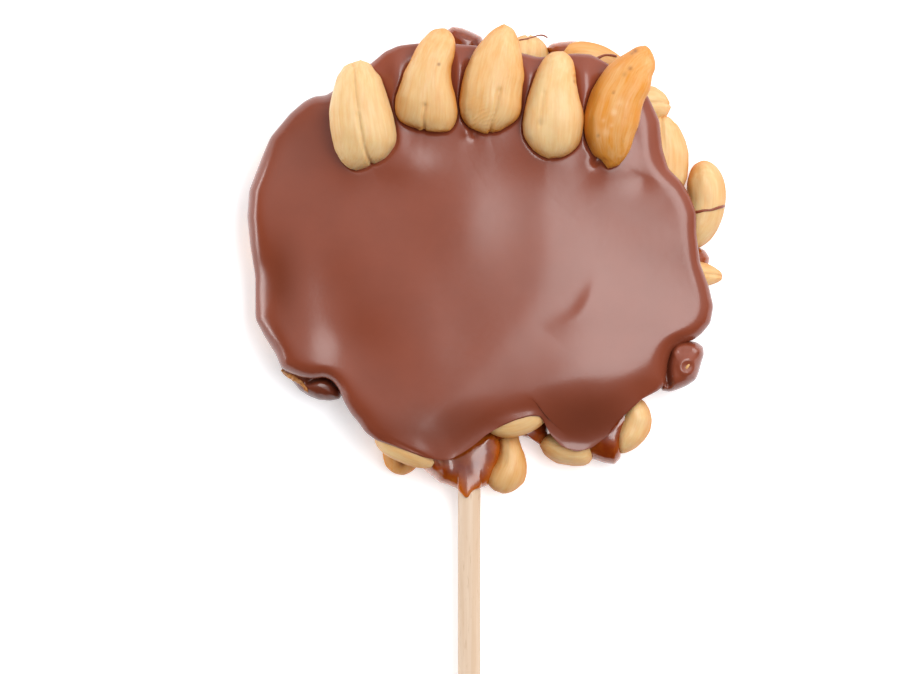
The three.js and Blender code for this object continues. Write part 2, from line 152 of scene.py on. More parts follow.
# Edge of the poured coat as seen from above, in pixels of the photograph, clockwise from the upper left.
# It runs behind the claws, inside the knob on the right and inside the torn corner at the lower left.
COAT_RIM = [
    (350, 80), (361, 71), (373, 62), (385, 52), (399, 46), (416, 44), (440, 43), (461, 45), (474, 46),
    (500, 50), (524, 54), (539, 58), (560, 55), (577, 54), (591, 55), (607, 64), (630, 78), (648, 97),
    (659, 121), (662, 149), (668, 169), (681, 182), (690, 197), (696, 213), (696, 233), (700, 263),
    (709, 286), (714, 306), (711, 323), (702, 334), (694, 340), (682, 344), (673, 350), (669, 360),
    (667, 372), (666, 384), (658, 391), (650, 395), (642, 399), (629, 411), (616, 423), (607, 436),
    (592, 448), (577, 452), (561, 446), (550, 434), (544, 422), (540, 416), (529, 416), (515, 420),
    (501, 426), (487, 434), (473, 446), (462, 453), (449, 460), (438, 460), (424, 457), (403, 449),
    (386, 443), (376, 440), (365, 432), (359, 423), (351, 414), (344, 402), (339, 389), (333, 381),
    (325, 377), (312, 379), (300, 377), (290, 373), (281, 368), (276, 355), (264, 336), (255, 319),
    (255, 277), (250, 245), (247, 217), (249, 190), (262, 156), (270, 137), (290, 113), (304, 101),
    (314, 96), (326, 95),
]

# Height of the coat's lower edge by bearing in degrees from +X: low at the sides, high over bare nuts
LIP_HEIGHTS = [
    (0, 10.6), (6, 11.6), (56, 11.6), (62, 11.4), (114, 11.4), (126, 6.8), (135, 6.0), (208, 6.0),
    (214, 8.2), (219, 10.0), (226, 10.0), (232, 8.6), (238, 9.6), (246, 12.0), (262, 12.6), (270, 13.4),
    (288, 13.6), (292, 11.2), (296, 10.0), (317, 10.0), (324, 6.4), (345, 6.0), (352, 8.0),
]

# Width of the rolled edge by bearing: narrow on the left and right, long slopes on the lobes below
ROLL_WIDTHS = [
    (0, 4.0), (30, 5.5), (60, 7), (100, 7), (125, 7), (150, 6), (170, 5), (185, 5), (205, 6), (222, 5),
    (236, 7), (250, 8), (262, 8), (280, 6), (292, 8), (303, 9), (315, 9), (328, 6), (345, 4),
]

# Soft rises and hollows of the coat: the pixel they lie round, half widths in pixels, height in millimetres
COAT_RELIEF = [
    ("fall to the left edge", (250, 290), (32, 44), -3.8),
    ("fall to the upper left", (270, 110), (46, 46), -2.6),
    ("hollow left of the middle", (328, 290), (28, 36), -1.0),
    ("hollow above the lower left lobe", (350, 348), (36, 36), -1.7),
    ("rise left of the middle", (410, 290), (34, 46), 0.35),
    ("rise above the lower left lobe", (424, 350), (30, 34), 0.15),
    ("rise above the lower right lobe", (590, 394), (60, 36), 0.9),
    ("fold below claw 2", (457, 214), (44, 62), 0.84),
    ("hump between claws 1 and 2", (398, 86), (11, 36), 1.5),
    ("hump between claws 2 and 3", (459, 82), (8, 34), 1.4),
    ("hump between claws 3 and 4", (529, 92), (10, 34), 1.2),
    ("hump between claws 4 and 5", (585, 88), (12, 34), 1.5),
    ("ridge right of claw 5", (649, 136), (12, 38), 0.35),
    ("dimple below that ridge", (642, 180), (13, 12), -0.3),
    ("swell below claw 2", (408, 160), (28, 22), 0.85),
    ("bump between claws 2 and 3", (466, 131), (5, 5.5), 0.5),
    ("pit beside that bump", (474, 134), (3.5, 5), -0.6),
    ("pit beside the base of claw 5", (597, 161), (5, 6), -1.3),
]
# Painted shade: the coat is darkened where its lobes, valley and hollows turn from the light: the pixel in
# the middle, half widths in pixels, and how much
COAT_PAINTED_SHADE = [
    ("valley on the left", (283, 288), (17, 48), 0.5),
    ("upper left", (304, 138), (44, 42), 0.45),
    ("lower left lobe", (436, 430), (72, 26), 0.45),
    ("lower right lobe", (588, 420), (56, 34), 0.65),
    ("left of the lower middle", (372, 376), (26, 24), 0.2),
    ("left of the middle", (350, 292), (28, 28), 0.12),
]
# Lines beyond which the coat falls away, in pixels, with how steeply along the line and over how many
# millimetres that starts: to the right it reflects the light, and below it turns into the two lobes
RIGHT_FALL = {
    "line": [
        (380, 490), (436, 420), (474, 374), (505, 338), (530, 312), (542, 285), (545, 255), (545, 210),
        (547, 170), (556, 130),
    ],
    "slopes": [0.0, 0.035, 0.085, 0.085, 0.075, 0.075, 0.075, 0.075, 0.035, 0.0], "start": 1.3,
}
LOBE_FALL = {
    "line": [
        (300, 420), (352, 434), (385, 440), (412, 430), (440, 411), (480, 406), (520, 402), (546, 390),
        (580, 375), (620, 371), (655, 362), (690, 350), (730, 330),
    ],
    "slopes": [0.1, 0.1, 0.12, 0.2, 0.28, 0.24, 0.19, 0.18, 0.22, 0.3], "start": 1.6,
}
# A curved dent right of the middle: its lower right side stands higher than its upper left
DENT = {
    "line": [
        (540, 328), (553, 323), (565, 317.5), (575, 311), (583, 301), (589, 289), (594, 276), (598, 262),
    ],
    "step": 0.46, "width": 0.7, "reach": 5,
}

# What tells one nut from the next: how toasted it is (0 cream, 1 golden), the outline seen from above, the
# splits between the halves (line, depth, width) and the dark marks and pale scuffs (where, radius, strength)
CLAW_1_OUTLINE = [
    (361, 60), (370, 63), (374, 68), (381, 77), (386, 89), (390, 103), (394, 116), (396, 127), (397, 136),
    (396, 144), (392, 151), (386, 158), (379, 162), (373, 165), (368, 167), (359, 170), (351, 170),
    (345, 166), (340, 160), (335, 150), (332, 138), (330, 125), (329, 113), (330, 102), (333, 88),
    (337, 75), (343, 66), (351, 63), (357, 61),
]
CLAW_2_OUTLINE = [
    (441, 26), (448, 27), (453, 32), (456, 38), (456, 45), (454, 54), (452, 66), (452, 75), (453, 85),
    (455, 94), (457, 103), (458, 112), (457, 120), (455, 127), (452, 132), (442, 133), (432, 132),
    (424, 131), (419, 131), (413, 128), (404, 125), (398, 121), (395, 116), (395, 106), (396, 96),
    (400, 85), (404, 72), (410, 61), (416, 49), (422, 40), (428, 32), (433, 28),
]
CLAW_3_OUTLINE = [
    (502, 22), (509, 24), (515, 28), (519, 41), (522, 54), (523, 64), (525, 75), (525, 80), (523, 90),
    (522, 100), (522, 109), (519, 117), (514, 123), (509, 126), (502, 131), (494, 134), (487, 135),
    (481, 133), (475, 131), (468, 128), (463, 122), (460, 114), (459, 104), (460, 95), (462, 83),
    (465, 71), (470, 60), (476, 49), (482, 41), (488, 33), (494, 27),
]
CLAW_4_OUTLINE = [
    (558, 50), (565, 50), (570, 54), (574, 61), (576, 72), (577, 82), (578, 94), (580, 102), (583, 112),
    (584, 122), (583, 133), (581, 141), (577, 148), (570, 154), (562, 158), (549, 159), (541, 156),
    (533, 150), (528, 143), (524, 135), (523, 124), (524, 111), (527, 98), (530, 89), (534, 78), (539, 67),
    (544, 57), (550, 51),
]
CLAW_5_OUTLINE = [
    (643, 45), (649, 47), (653, 54), (656, 63), (655, 71), (652, 76), (651, 82), (649, 92), (643, 102),
    (640, 115), (638, 128), (633, 140), (630, 151), (626, 159), (620, 165), (611, 169), (606, 168),
    (602, 162), (599, 157), (592, 155), (588, 146), (585, 136), (584, 126), (584, 115), (587, 104),
    (591, 92), (598, 79), (606, 67), (616, 58), (626, 52), (635, 47),
]
NUT_LOOKS = {
    "claw_1": {
        "toast": 0.16,
        "flank_toast_and_shade": 0.0,
        "outline": CLAW_1_OUTLINE,
        "splits": [
            ([(352.5, 62), (354, 71), (354.5, 81), (356, 95), (358, 111)], 0.34, 0.3),
            ([(358, 111), (360, 127), (362, 136), (364, 147), (368, 158), (373, 167)], 0.6, 0.3),
        ],
    },
    "claw_2": {
        "toast": 0.3,
        "outline": CLAW_2_OUTLINE,
        "splits": [
            ([(436, 44), (433, 66), (428, 89), (425, 104), (424, 112)], 0.1, 0.5),
            ([(425, 104), (423.5, 114), (423, 122), (424, 134)], 0.5, 0.34),
        ],
        "marks": [((439, 64.5), 0.35, 0.8), ((397, 115), 1.0, 0.25)],
    },
    "claw_3": {
        "toast": 0.34,
        "outline": CLAW_3_OUTLINE,
        "splits": [
            ([(500.5, 88), (498, 96.5), (496.5, 106), (494.5, 115), (492, 123), (489.5, 136)], 0.5, 0.34),
        ],
        "wrinkles": {
            "at": (482, 112), "size": (15, 20), "along": (1.0, 0.45), "spacing": 0.85, "depth": 0.07,
        },
    },
    "claw_4": {
        "toast": 0.16,
        "outline": CLAW_4_OUTLINE,
        "splits": [
            ([(544, 90), (542, 100), (541, 110), (539.5, 120), (540, 128)], 0.22, 0.4),
            ([(575.2, 74), (575.6, 80), (575.8, 86)], 0.2, 0.25),
        ],
        "marks": [((540, 122), 0.9, 0.22), ((575.6, 81), 0.3, 0.4)],
    },
    "claw_5": {
        "toast": 0.78,
        "outline": CLAW_5_OUTLINE,
        "splits": [],
        "marks": [
            ((635.5, 50.5), 0.45, 0.7), ((632, 53), 0.35, 0.5), ((630, 69), 0.45, 0.6),
            ((613, 93), 0.3, 0.7), ((613.5, 113), 0.7, -0.4), ((603, 121), 0.45, -0.25),
            ((606, 133), 0.9, -0.25), ((611, 126), 0.5, -0.3), ((598, 136), 0.35, 0.5),
            ((624, 75), 0.5, 0.3), ((620, 104), 0.9, -0.2),
        ],
    },
    "back_nut_1": {"toast": 0.22},
    "back_nut_2": {"toast": 0.6},
    "right_nut_1": {
        "toast": 0.15,
        "outline": [
            (600, 100), (612, 92), (628, 86), (645, 82), (657, 84), (667, 90), (673, 99), (674, 107),
            (669, 115), (658, 119), (642, 120), (622, 121), (608, 118), (600, 110),
        ],
    },
    "right_nut_2": {
        "toast": 0.22,
        "outline": [
            (655, 114), (664, 112), (673, 115), (681, 124), (687, 137), (691, 150), (692, 164), (690, 178),
            (684, 192), (672, 206), (656, 212), (642, 206), (636, 195), (635, 175), (637, 150), (642, 130),
            (648, 119),
        ],
    },
    "right_nut_3": {"toast": 0.2},
    "right_nut_4": {"toast": 0.3},
    "lower_right_nut_1": {
        "toast": 0.25,
        "outline": [
            (640, 397), (648, 402), (653, 411), (654.5, 421), (652, 432), (647, 441), (639, 449),
            (630, 454.5), (622, 456), (617, 450), (616, 438), (619, 424), (625, 409), (632, 400),
        ],
    },
    "lower_right_nut_2": {
        "toast": 0.3,
        "outline": [
            (540, 443), (541, 448), (546, 456), (553, 461), (562, 465), (575, 467), (586, 466.5),
            (593, 463), (596, 457), (596, 450), (594, 443), (589, 437), (580, 433), (570, 431), (556, 433),
            (546, 437),
        ],
    },
    "bottom_nut_1": {
        "toast": 0.45,
        "splits": [([(507, 440), (506, 455), (505, 468)], 0.12, 0.5)],
        "outline": [
            (505, 430), (512, 428), (519, 431), (521, 440), (523, 448), (526, 456), (528, 466), (528, 476),
            (525, 484), (518, 491), (510, 495), (502, 495), (494, 492), (488, 487), (486, 480), (489, 472),
            (495, 464), (499, 455), (500, 447), (499, 438),
        ],
    },
    "bottom_nut_2": {"toast": 0.25},
    "bottom_nut_3": {
        "toast": 0.65,
        "splits": [([(393, 451), (397.5, 459), (402, 468)], 0.5, 0.45)],
        "marks": [((396.5, 457.5), 0.6, 0.8), ((401, 466), 0.6, 0.8)],
    },
    "bottom_nut_4": {"toast": 0.3},
}
PLAIN_TOAST = 0.35
# How much more golden the flanks of the nuts are: partly toasting, partly painted shade
PLAIN_FLANK_TOAST_AND_SHADE = 0.9

# Lobes of caramel that show beyond the coat: outline in pixels, lowest and highest point in millimetres
CARAMEL_LOBES = [
    {
        "name": "drip_over_the_stick",
        "outline": [
            (421, 455), (422, 468), (434, 478), (440, 483), (448, 485), (457, 489), (462, 494),
            (465.5, 498), (468.5, 497), (471, 492), (475, 489), (482, 488), (488, 486), (494, 478),
            (500, 462), (502, 446), (497, 430), (480, 434), (462, 444), (440, 450),
        ],
        "low": 0.0, "high": 9.4, "thin": 0.85, "squareness": 3.4,
        "ridges": [
            {
                "line": [(482, 426), (474, 442), (467, 458), (463, 476), (463, 494)],
                "width": 3.4, "height": 0.5,
            },
            {"line": [(429, 448), (432, 460), (434, 468)], "width": 2.4, "height": 4.6},
        ],
    },
    {
        "name": "caramel_in_the_notch",
        "outline": [
            (486, 428), (500, 422), (520, 413), (540, 410), (548, 420), (548, 436), (541, 446), (532, 440),
            (520, 436), (506, 439), (494, 442), (486, 438),
        ],
        "low": 0.0, "high": 9.6, "thin": 0.15,
    },
    {
        "name": "caramel_between_the_lower_right_nuts",
        "outline": [
            (578, 446), (584, 455), (594, 460), (605, 463.5), (615, 465), (621, 458), (623, 447),
            (627, 434), (633, 418), (641, 402), (634, 396), (618, 408), (598, 428),
        ],
        "low": 0.0, "high": 9.9, "thin": 0.45,
    },
    {
        "name": "caramel_behind_the_middle_claws",
        "outline": [
            (446, 30), (452, 25.5), (462, 27), (472, 31), (482, 36), (486, 48), (480, 62), (456, 60),
            (446, 46),
        ],
        "low": 0.0, "high": 9.0, "thin": 0.3,
    },
    {
        "name": "caramel_behind_the_last_claws",
        "outline": [
            (546, 48), (551, 43), (560, 41), (572, 40), (582, 41), (590, 46), (596, 60), (580, 70),
            (556, 66),
        ],
        "low": 0.0, "high": 9.4, "thin": 0.5,
    },
    {
        "name": "caramel_beside_the_right_nuts",
        "outline": [
            (690, 236), (698, 246), (706, 250), (711, 258), (708, 268), (701, 274), (690, 276), (680, 262),
            (682, 244),
        ],
        "low": 0.0, "high": 7.5, "thin": 0.3,
    },
]

# Thin threads of chocolate that lie over the nuts: pixels along each, and radius in millimetres
CHOCOLATE_THREADS = [
    {"line": [(690, 212), (697, 212), (704, 210.5), (711, 210), (719, 207.5), (726, 205.5)], "radius": 0.3},
    {"line": [(519, 39.5), (525, 38.5), (531, 37), (537, 35), (543, 34.5), (548, 37)], "radius": 0.17},
    {"line": [(594, 60), (599, 57.5), (605, 55), (611, 55), (617, 56)], "radius": 0.28},
]

# The coated nut that stands out at the lower right, seen from above
KNOB_OUTLINE = [
    (669, 346), (676, 342), (686, 340.5), (697, 342), (703.5, 346.5), (704.5, 354), (702, 362), (699, 373),
    (696, 380), (688, 385.5), (680, 389), (671, 392), (662, 391), (659, 380), (661, 362),
]
KNOB_CREASE = [(672, 343), (669, 352), (667.5, 362), (667, 372), (668.5, 384)]
KNOB_RIDGE = [(673, 352), (679, 345.5), (687, 344), (695, 346.5), (700, 351)]
KNOB_BARE_SPOT = {"at": (687, 366.5), "size": (2.6, 6.2), "turn": 36}

# The coated nut that shows where the coat is torn open
CORNER_OUTLINE = [
    (280, 366), (284, 374), (292, 381), (299, 390), (308, 396), (318, 400), (330, 401), (340, 399),
    (343, 388), (336, 376), (322, 370), (300, 366),
]
CORNER_CAVITY = [(309, 381), (316, 378), (325, 377), (333, 380), (338, 385)]
CORNER_CRUST = [(281, 370), (286, 374), (292, 377), (298, 380.5), (303, 385), (307.5, 392)]


def hex_colour(text):
    """Linear colour with alpha of an sRGB hex value."""
    channels = [int(text[i:i + 2], 16) / 255 for i in (1, 3, 5)]
    return [c / 12.92 if c <= 0.04045 else ((c + 0.055) / 1.055) ** 2.4 for c in channels] + [1.0]


def from_photo(pixels, height):
    """Plan positions of pixels of the photograph, for points at a height."""
    flat = (np.array(pixels, float) - HEAD_PIXEL) * (PIXEL_MM, -PIXEL_MM)
    return CAMERA_SPOT + (flat - CAMERA_SPOT) * (1 - (height - SHARP_HEIGHT) / CAMERA_DISTANCE)


def soften(loop, steps):
    """Closed row of values, blurred over a number of steps."""
    blur = np.exp(-2 * (np.pi * np.fft.rfftfreq(len(loop)) * steps) ** 2)
    spread = blur.reshape([-1] + [1] * (loop.ndim - 1))
    return np.fft.irfft(np.fft.rfft(loop, axis=0) * spread, len(loop), axis=0)


def closed_curve(corners, count, softness):
    """Evenly spaced points on a closed curve through corners, rounded over a softness in millimetres."""
    ring = np.vstack([corners, corners[:1]])
    lengths = np.r_[0, np.cumsum(np.hypot(*np.diff(ring, axis=0).T))]
    steps = np.linspace(0, lengths[-1], count, endpoint=False)
    curve = np.column_stack([np.interp(steps, lengths, ring[:, k]) for k in (0, 1)])
    return soften(curve, softness * count / lengths[-1])


def open_curve(corners, count):
    """Evenly spaced points on a smooth line through the corners."""
    corners = np.array(corners, float)
    ends = np.vstack([2 * corners[0] - corners[1], corners, 2 * corners[-1] - corners[-2]])
    points = []
    for place in np.linspace(0, len(corners) - 1, count):
        k = min(int(place), len(corners) - 2)
        t = place - k
        a, b, c, d = ends[k:k + 4]
        squared = 2 * a - 5 * b + 4 * c - d
        cubed = 3 * b - a - 3 * c + d
        points.append(0.5 * (2 * b + (c - a) * t + squared * t ** 2 + cubed * t ** 3))
    return np.array(points)


def distance_to_line(places, line):
    """Distance of plan positions from a line of points, and how far along it each one is, from 0 to 1."""
    nearest = np.full(len(places), np.inf)
    along = np.zeros(len(places))
    for k in range(len(line) - 1):
        step = line[k + 1] - line[k]
        part = np.clip(((places - line[k]) @ step) / max(step @ step, 1e-9), 0, 1)
        gap = np.hypot(*(places - line[k] - part[:, None] * step).T)
        closer = gap < nearest
        nearest[closer] = gap[closer]
        along[closer] = (k + part[closer]) / (len(line) - 1)
    return nearest, along


def side_of_line(places, line):
    """Distance of plan positions from a line, negative on its left as it runs."""
    distance, along = distance_to_line(places, line)
    k = np.clip((along * (len(line) - 1)).astype(int), 0, len(line) - 2)
    step = line[k + 1] - line[k]
    offset = places - line[k]
    side = offset[:, 0] * step[:, 1] - offset[:, 1] * step[:, 0]
    return np.where(side > 0, distance, -distance)


def distance_to_traced(places, pixels, height, count):
    """Distance from a line traced in the photograph, and how far along it each place is, from 0 to 1."""
    return distance_to_line(places, open_curve(from_photo(pixels, height), count))


def share_of_chord(places, line):
    """How far plan positions are along the straight between a line's ends, from 0 to 1."""
    chord = line[-1] - line[0]
    return np.clip((places - line[0]) @ chord / (chord @ chord), 0, 1)


def bell(distance, width):
    """1 where the distance is nothing, falling smoothly to 0 over a width."""
    return np.exp(-((distance / width) ** 2))


def offset_from(places, pixel, size, height):
    """Plan positions as seen from a pixel, in half widths that are given in pixels."""
    return (places - from_photo(pixel, height)) / (np.array(size) * PIXEL_MM)


def raised(places, height):
    """Points over plan positions, all at one height or each at its own."""
    return np.column_stack([places, np.zeros(len(places)) + height])


# Numbers that scatter the corners of a grid, and how far
SCATTER = (12.9898, 78.233, 37.719, 4.137)
SCATTER_REACH = 43758.5453


def lumps(points, size, seed):
    """Smooth random values from -1 to 1 at points, with lumps about as large as the size."""
    scaled = points / size
    cell = np.floor(scaled).astype(int)
    part = scaled - cell
    part = part * part * (3 - 2 * part)
    total = np.zeros(len(points))
    for corner in range(8):
        step = np.array([corner & 1, corner >> 1 & 1, corner >> 2])
        weight = np.prod(np.where(step, part, 1 - part), axis=1)
        x, y, z = (cell + step).T
        value = np.sin(x * SCATTER[0] + y * SCATTER[1] + z * SCATTER[2] + seed * SCATTER[3]) * SCATTER_REACH
        total += weight * (value - np.floor(value))
    return 2 * total - 1


def skin(rings, start, end):
    """Closed mesh over rings of points between two end points, with its faces turned outwards."""
    rows, columns = rings.shape[:2]
    points = np.vstack([[start], rings.reshape(-1, 3), [end]])
    here = 1 + np.arange(columns)
    beside = 1 + (np.arange(columns) + 1) % columns
    strip = np.column_stack([here, beside, beside + columns, here + columns])
    quads = np.vstack([strip + row * columns for row in range(rows - 1)])
    offset = (rows - 1) * columns
    ends = [(0, b, a) for a, b in zip(here, beside)]
    ends += [(a + offset, b + offset, len(points) - 1) for a, b in zip(here, beside)]
    a, b, c, d = (points[quads[:, k]] for k in range(4))
    volume = np.sum(a * np.cross(b, c)) + np.sum(a * np.cross(c, d))
    faces = [tuple(face) for face in quads.tolist()] + [tuple(int(v) for v in face) for face in ends]
    if volume < 0:
        faces = [face[::-1] for face in faces]
    return points, faces


def outward(points, faces):
    """Unit direction out of the surface at every point."""
    quads = np.array([face for face in faces if len(face) == 4])
    across = np.cross(points[quads[:, 2]] - points[quads[:, 0]], points[quads[:, 3]] - points[quads[:, 1]])
    total = np.zeros_like(points)
    for k in range(4):
        for axis in range(3):
            total[:, axis] += np.bincount(quads[:, k], across[:, axis], len(points))
    return total / np.maximum(np.linalg.norm(total, axis=1), 1e-9)[:, None]


def make_piece(name, points, faces, slot, nodes=(), **fields):
    """Object from points in millimetres that rides on the lollipop and stands for nodes of the frame."""
    mesh = bpy.data.meshes.new(name)
    mesh.from_pydata((points * MM).tolist(), [], faces)
    mesh.polygons.foreach_set("use_smooth", [True] * len(mesh.polygons))
    for field, values in fields.items():
        vector = values.ndim == 2
        attribute = mesh.attributes.new(field, "FLOAT_VECTOR" if vector else "FLOAT", "POINT")
        attribute.data.foreach_set("vector" if vector else "value", values.ravel().astype(np.float32))
    mesh.materials.append(made_finish(slot))
    mesh.update()
    piece = bpy.data.objects.new(name, mesh)
    bpy.context.scene.collection.objects.link(piece)
    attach(piece, "root")
    if nodes:
        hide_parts(*nodes)


# Height above everything, from where rays look down
RAY_START = 60


def search_tree(pieces):
    """Tree for rays and nearest points over pieces, in millimetres."""
    points = []
    faces = []
    for piece in pieces:
        first = len(points)
        points += [tuple(v.co * TO_MM) for v in piece.data.vertices]
        faces += [[first + v for v in p.vertices] for p in piece.data.polygons]
    return BVHTree.FromPolygons(points, faces)


def made_nuts():
    """The roasted nuts made so far."""
    return [piece for piece in bpy.data.objects if piece.name.endswith("_roasted")]


def hit_below(tree, x, y):
    """Highest point of a tree's pieces at a plan position, or None."""
    return tree.ray_cast(Vector((x, y, RAY_START)), Vector((0, 0, -1)))[0]


def drop_onto(tree, places, otherwise):
    """Heights of what lies below plan positions, or another height where nothing does."""
    hits = [hit_below(tree, x, y) for x, y in places]
    return np.array([hit.z if hit else otherwise for hit in hits])


def stick_box():
    """Lowest and highest corner of the stick in millimetres, and its radius."""
    low, high = (np.array(corner) * TO_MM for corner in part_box("stick"))
    return low, high, (high[0] - low[0]) / 2


# Materials

def add_node(tree, kind, values=None, links=None, **settings):
    """Adds a node with settings, values of its inputs, and the outputs that feed its other inputs."""
    node = tree.nodes.new(kind)
    for name, setting in settings.items():
        setattr(node, name, setting)
    for key, value in (values or {}).items():
        node.inputs[key].default_value = value
    for key, output in (links or {}).items():
        tree.links.new(output, node.inputs[key])
    return node


def new_finish(name, **shader_values):
    """Material with a plain shader, and that shader's inputs that are the same all over."""
    finish = bpy.data.materials.new(name)
    finish.use_nodes = True
    tree = finish.node_tree
    tree.nodes.clear()
    values = {key.replace("_", " "): value for key, value in shader_values.items()}
    shader = add_node(tree, "ShaderNodeBsdfPrincipled", values)
    add_node(tree, "ShaderNodeOutputMaterial", links={"Surface": shader.outputs["BSDF"]})
    return finish, tree, shader


def pattern(tree, place, size_mm, detail=2.0, stretch=(1, 1, 1), in_mm=False, seed=0.0):
    """Cloudy pattern from 0 to 1, with patches about as large as the size, longer where stretched."""
    unit = 1.0 if in_mm else 1 / MM
    mapping = {
        "Scale": [unit / (size_mm * s) for s in stretch],
        "Location": (seed, seed * 0.7, seed * 1.3),
    }
    placed = add_node(tree, "ShaderNodeMapping", mapping, {"Vector": place}).outputs[0]
    cloud = add_node(tree, "ShaderNodeTexNoise", {"Scale": 1.0, "Detail": detail}, {"Vector": placed})
    return cloud.outputs["Fac"]


def mixed(tree, factor, first, second):
    """Colour between two colours, each a value or another node's output."""
    values = {}
    links = {0: factor}
    for key, colour in ((6, first), (7, second)):
        if isinstance(colour, bpy.types.NodeSocket):
            links[key] = colour
        else:
            values[key] = colour
    return add_node(tree, "ShaderNodeMix", values, links, data_type="RGBA").outputs[2]


def spread(tree, value, low, high, to_low=0.0, to_high=1.0):
    """Value moved from one range to another and kept inside it."""
    limits = {"From Min": low, "From Max": high, "To Min": to_low, "To Max": to_high}
    return add_node(tree, "ShaderNodeMapRange", limits, {"Value": value}).outputs[0]


# The range that takes in most of a cloudy pattern
MOST_OF_PATTERN = (0.3, 0.7)


def wavering(tree, cloud, middle, less, more):
    """Value near a middle that a cloudy pattern makes a little less or more."""
    return spread(tree, cloud, *MOST_OF_PATTERN, middle - less, middle + more)


def attribute(tree, name, output="Fac"):
    """Values that a mesh has at its points."""
    return add_node(tree, "ShaderNodeAttribute", attribute_name=name).outputs[output]


def combined(tree, first, second, **settings):
    """Sum of two outputs, or what the settings make of them."""
    return add_node(tree, "ShaderNodeMath", links={0: first, 1: second}, **settings).outputs[0]


def bump(tree, height, strength, distance_mm, under=None):
    """Direction of a surface with fine relief, which can lie over another relief."""
    links = {"Height": height}
    if under is not None:
        links["Normal"] = under
    values = {"Strength": strength, "Distance": distance_mm * MM}
    return add_node(tree, "ShaderNodeBump", values, links).outputs[0]


def shade(colour, share):
    """Colour with its brightness at a share of what it was."""
    return [c * share for c in colour[:3]] + [1.0]


def dress(tree, shader, colour, roughness, direction):
    """Feeds a shader its colour, its roughness and the direction of its surface."""
    for name, output in (("Base Color", colour), ("Roughness", roughness), ("Normal", direction)):
        tree.links.new(output, shader.inputs[name])


def poured_chocolate_finish(name, look):
    """Milk chocolate, poured warm and set: a satin sheen over an even brown with faint cloudy patches."""
    finish, tree, shader = new_finish(name, IOR=1.5)
    place = add_node(tree, "ShaderNodeTexCoord").outputs["Object"]
    cloudy = pattern(tree, place, look.cloud_size, 3.0)
    grain = pattern(tree, place, look.grain_size)
    clouds = spread(tree, cloudy, 0.35, 0.65)
    colour = mixed(tree, clouds, shade(look.colour, 0.97), shade(look.colour, 1.03))
    # Painted shade: the coat darkens towards half its colour where the mesh carries shade
    colour = mixed(tree, attribute(tree, "thick"), colour, shade(look.colour, 0.5))
    roughness = wavering(tree, grain, look.roughness, 0.03, 0.05)
    dress(tree, shader, colour, roughness, bump(tree, cloudy, 0.1, 0.2, bump(tree, grain, 0.08, 0.05)))
    return finish


def caramel_finish(name, look):
    """Soft caramel, cooked and cut while warm: wet-looking gloss, dark where thick, amber where thin."""
    finish, tree, shader = new_finish(
        name, IOR=1.48, Subsurface_Weight=0.45, Subsurface_Radius=(3.2, 1.1, 0.35), Subsurface_Scale=MM,
        Coat_Weight=0.6, Coat_Roughness=0.12,
    )
    place = add_node(tree, "ShaderNodeTexCoord").outputs["Object"]
    streaky = pattern(tree, place, 3.0, 3.0)
    amount = combined(tree, attribute(tree, "thin"), wavering(tree, streaky, 0, 0.12, 0.12))
    colour = mixed(tree, amount, look.colour, look.thin_colour)
    roughness = wavering(tree, streaky, look.roughness, 0.05, 0.06)
    dress(tree, shader, colour, roughness, bump(tree, streaky, 0.12, 0.4))
    return finish


def cashew_finish(name, look):
    """Cashew kernel, dry roasted: dull cream to gold, finely streaked along it, darker where it toasted,
    with painted shade on its flanks.
    """
    finish, tree, shader = new_finish(
        name, IOR=1.45, Subsurface_Weight=0.22, Subsurface_Radius=(1.6, 0.8, 0.35), Subsurface_Scale=MM
    )
    place = attribute(tree, "nut_mm", "Vector")
    toast = attribute(tree, "toast")
    mark = attribute(tree, "mark")
    streaks = pattern(tree, place, look.streak_width, 3.0, (14, 1, 1), in_mm=True)
    broad = pattern(tree, place, look.streak_width * 3.2, 2.0, (7, 1, 1), in_mm=True, seed=7.3)
    blotches = pattern(tree, place, look.blotch_size, 3.0, (1.6, 1, 1), in_mm=True, seed=3.1)
    specks = pattern(tree, place, 0.9, 3.0, (1.5, 1, 1), in_mm=True, seed=9.7)
    uneven = wavering(tree, streaks, 0, 0.13, 0.13)
    for cloud, reach in ((blotches, 0.16), (broad, 0.12)):
        uneven = combined(tree, uneven, wavering(tree, cloud, 0, reach, reach))
    colour = mixed(tree, combined(tree, toast, uneven, use_clamp=True), look.cream, look.golden)
    spots = combined(tree, spread(tree, specks, 0.62, 0.8, 0.0, 0.25), toast, operation="MULTIPLY")
    colour = mixed(tree, spots, colour, look.scorched)
    for limit, tint in ((1.0, look.scorched), (-1.0, look.scuffed)):
        colour = mixed(tree, spread(tree, mark, 0.0, limit), colour, tint)
    roughness = wavering(tree, blotches, look.roughness, 0.06, 0.08)
    dress(tree, shader, colour, roughness, bump(tree, specks, 0.25, 0.14, bump(tree, streaks, 0.35, 0.16)))
    return finish


def birch_finish(name, look):
    """Birch dowel, turned and sanded: pale and dry, with fine straight grain and short darker pores."""
    finish, tree, shader = new_finish(name, IOR=1.45)
    place = add_node(tree, "ShaderNodeTexCoord").outputs["Object"]
    grain = pattern(tree, place, look.grain_width, 3.0, (1, 40, 1))
    bands = pattern(tree, place, look.grain_width * 4, 2.0, (1, 30, 1), seed=5.2)
    pores = pattern(tree, place, look.grain_width * 0.6, 2.0, (1, 12, 1), seed=8.8)
    colour = mixed(tree, spread(tree, bands, 0.35, 0.65), look.colour, look.late_wood)
    colour = mixed(tree, spread(tree, grain, 0.45, 0.75, 0.0, 0.6), colour, look.late_wood)
    colour = mixed(tree, spread(tree, pores, 0.62, 0.75, 0.0, 0.45), colour, look.pore)
    roughness = spread(tree, grain, *MOST_OF_PATTERN, 0.52, 0.64)
    dress(tree, shader, colour, roughness, bump(tree, grain, 0.3, 0.08))
    return finish


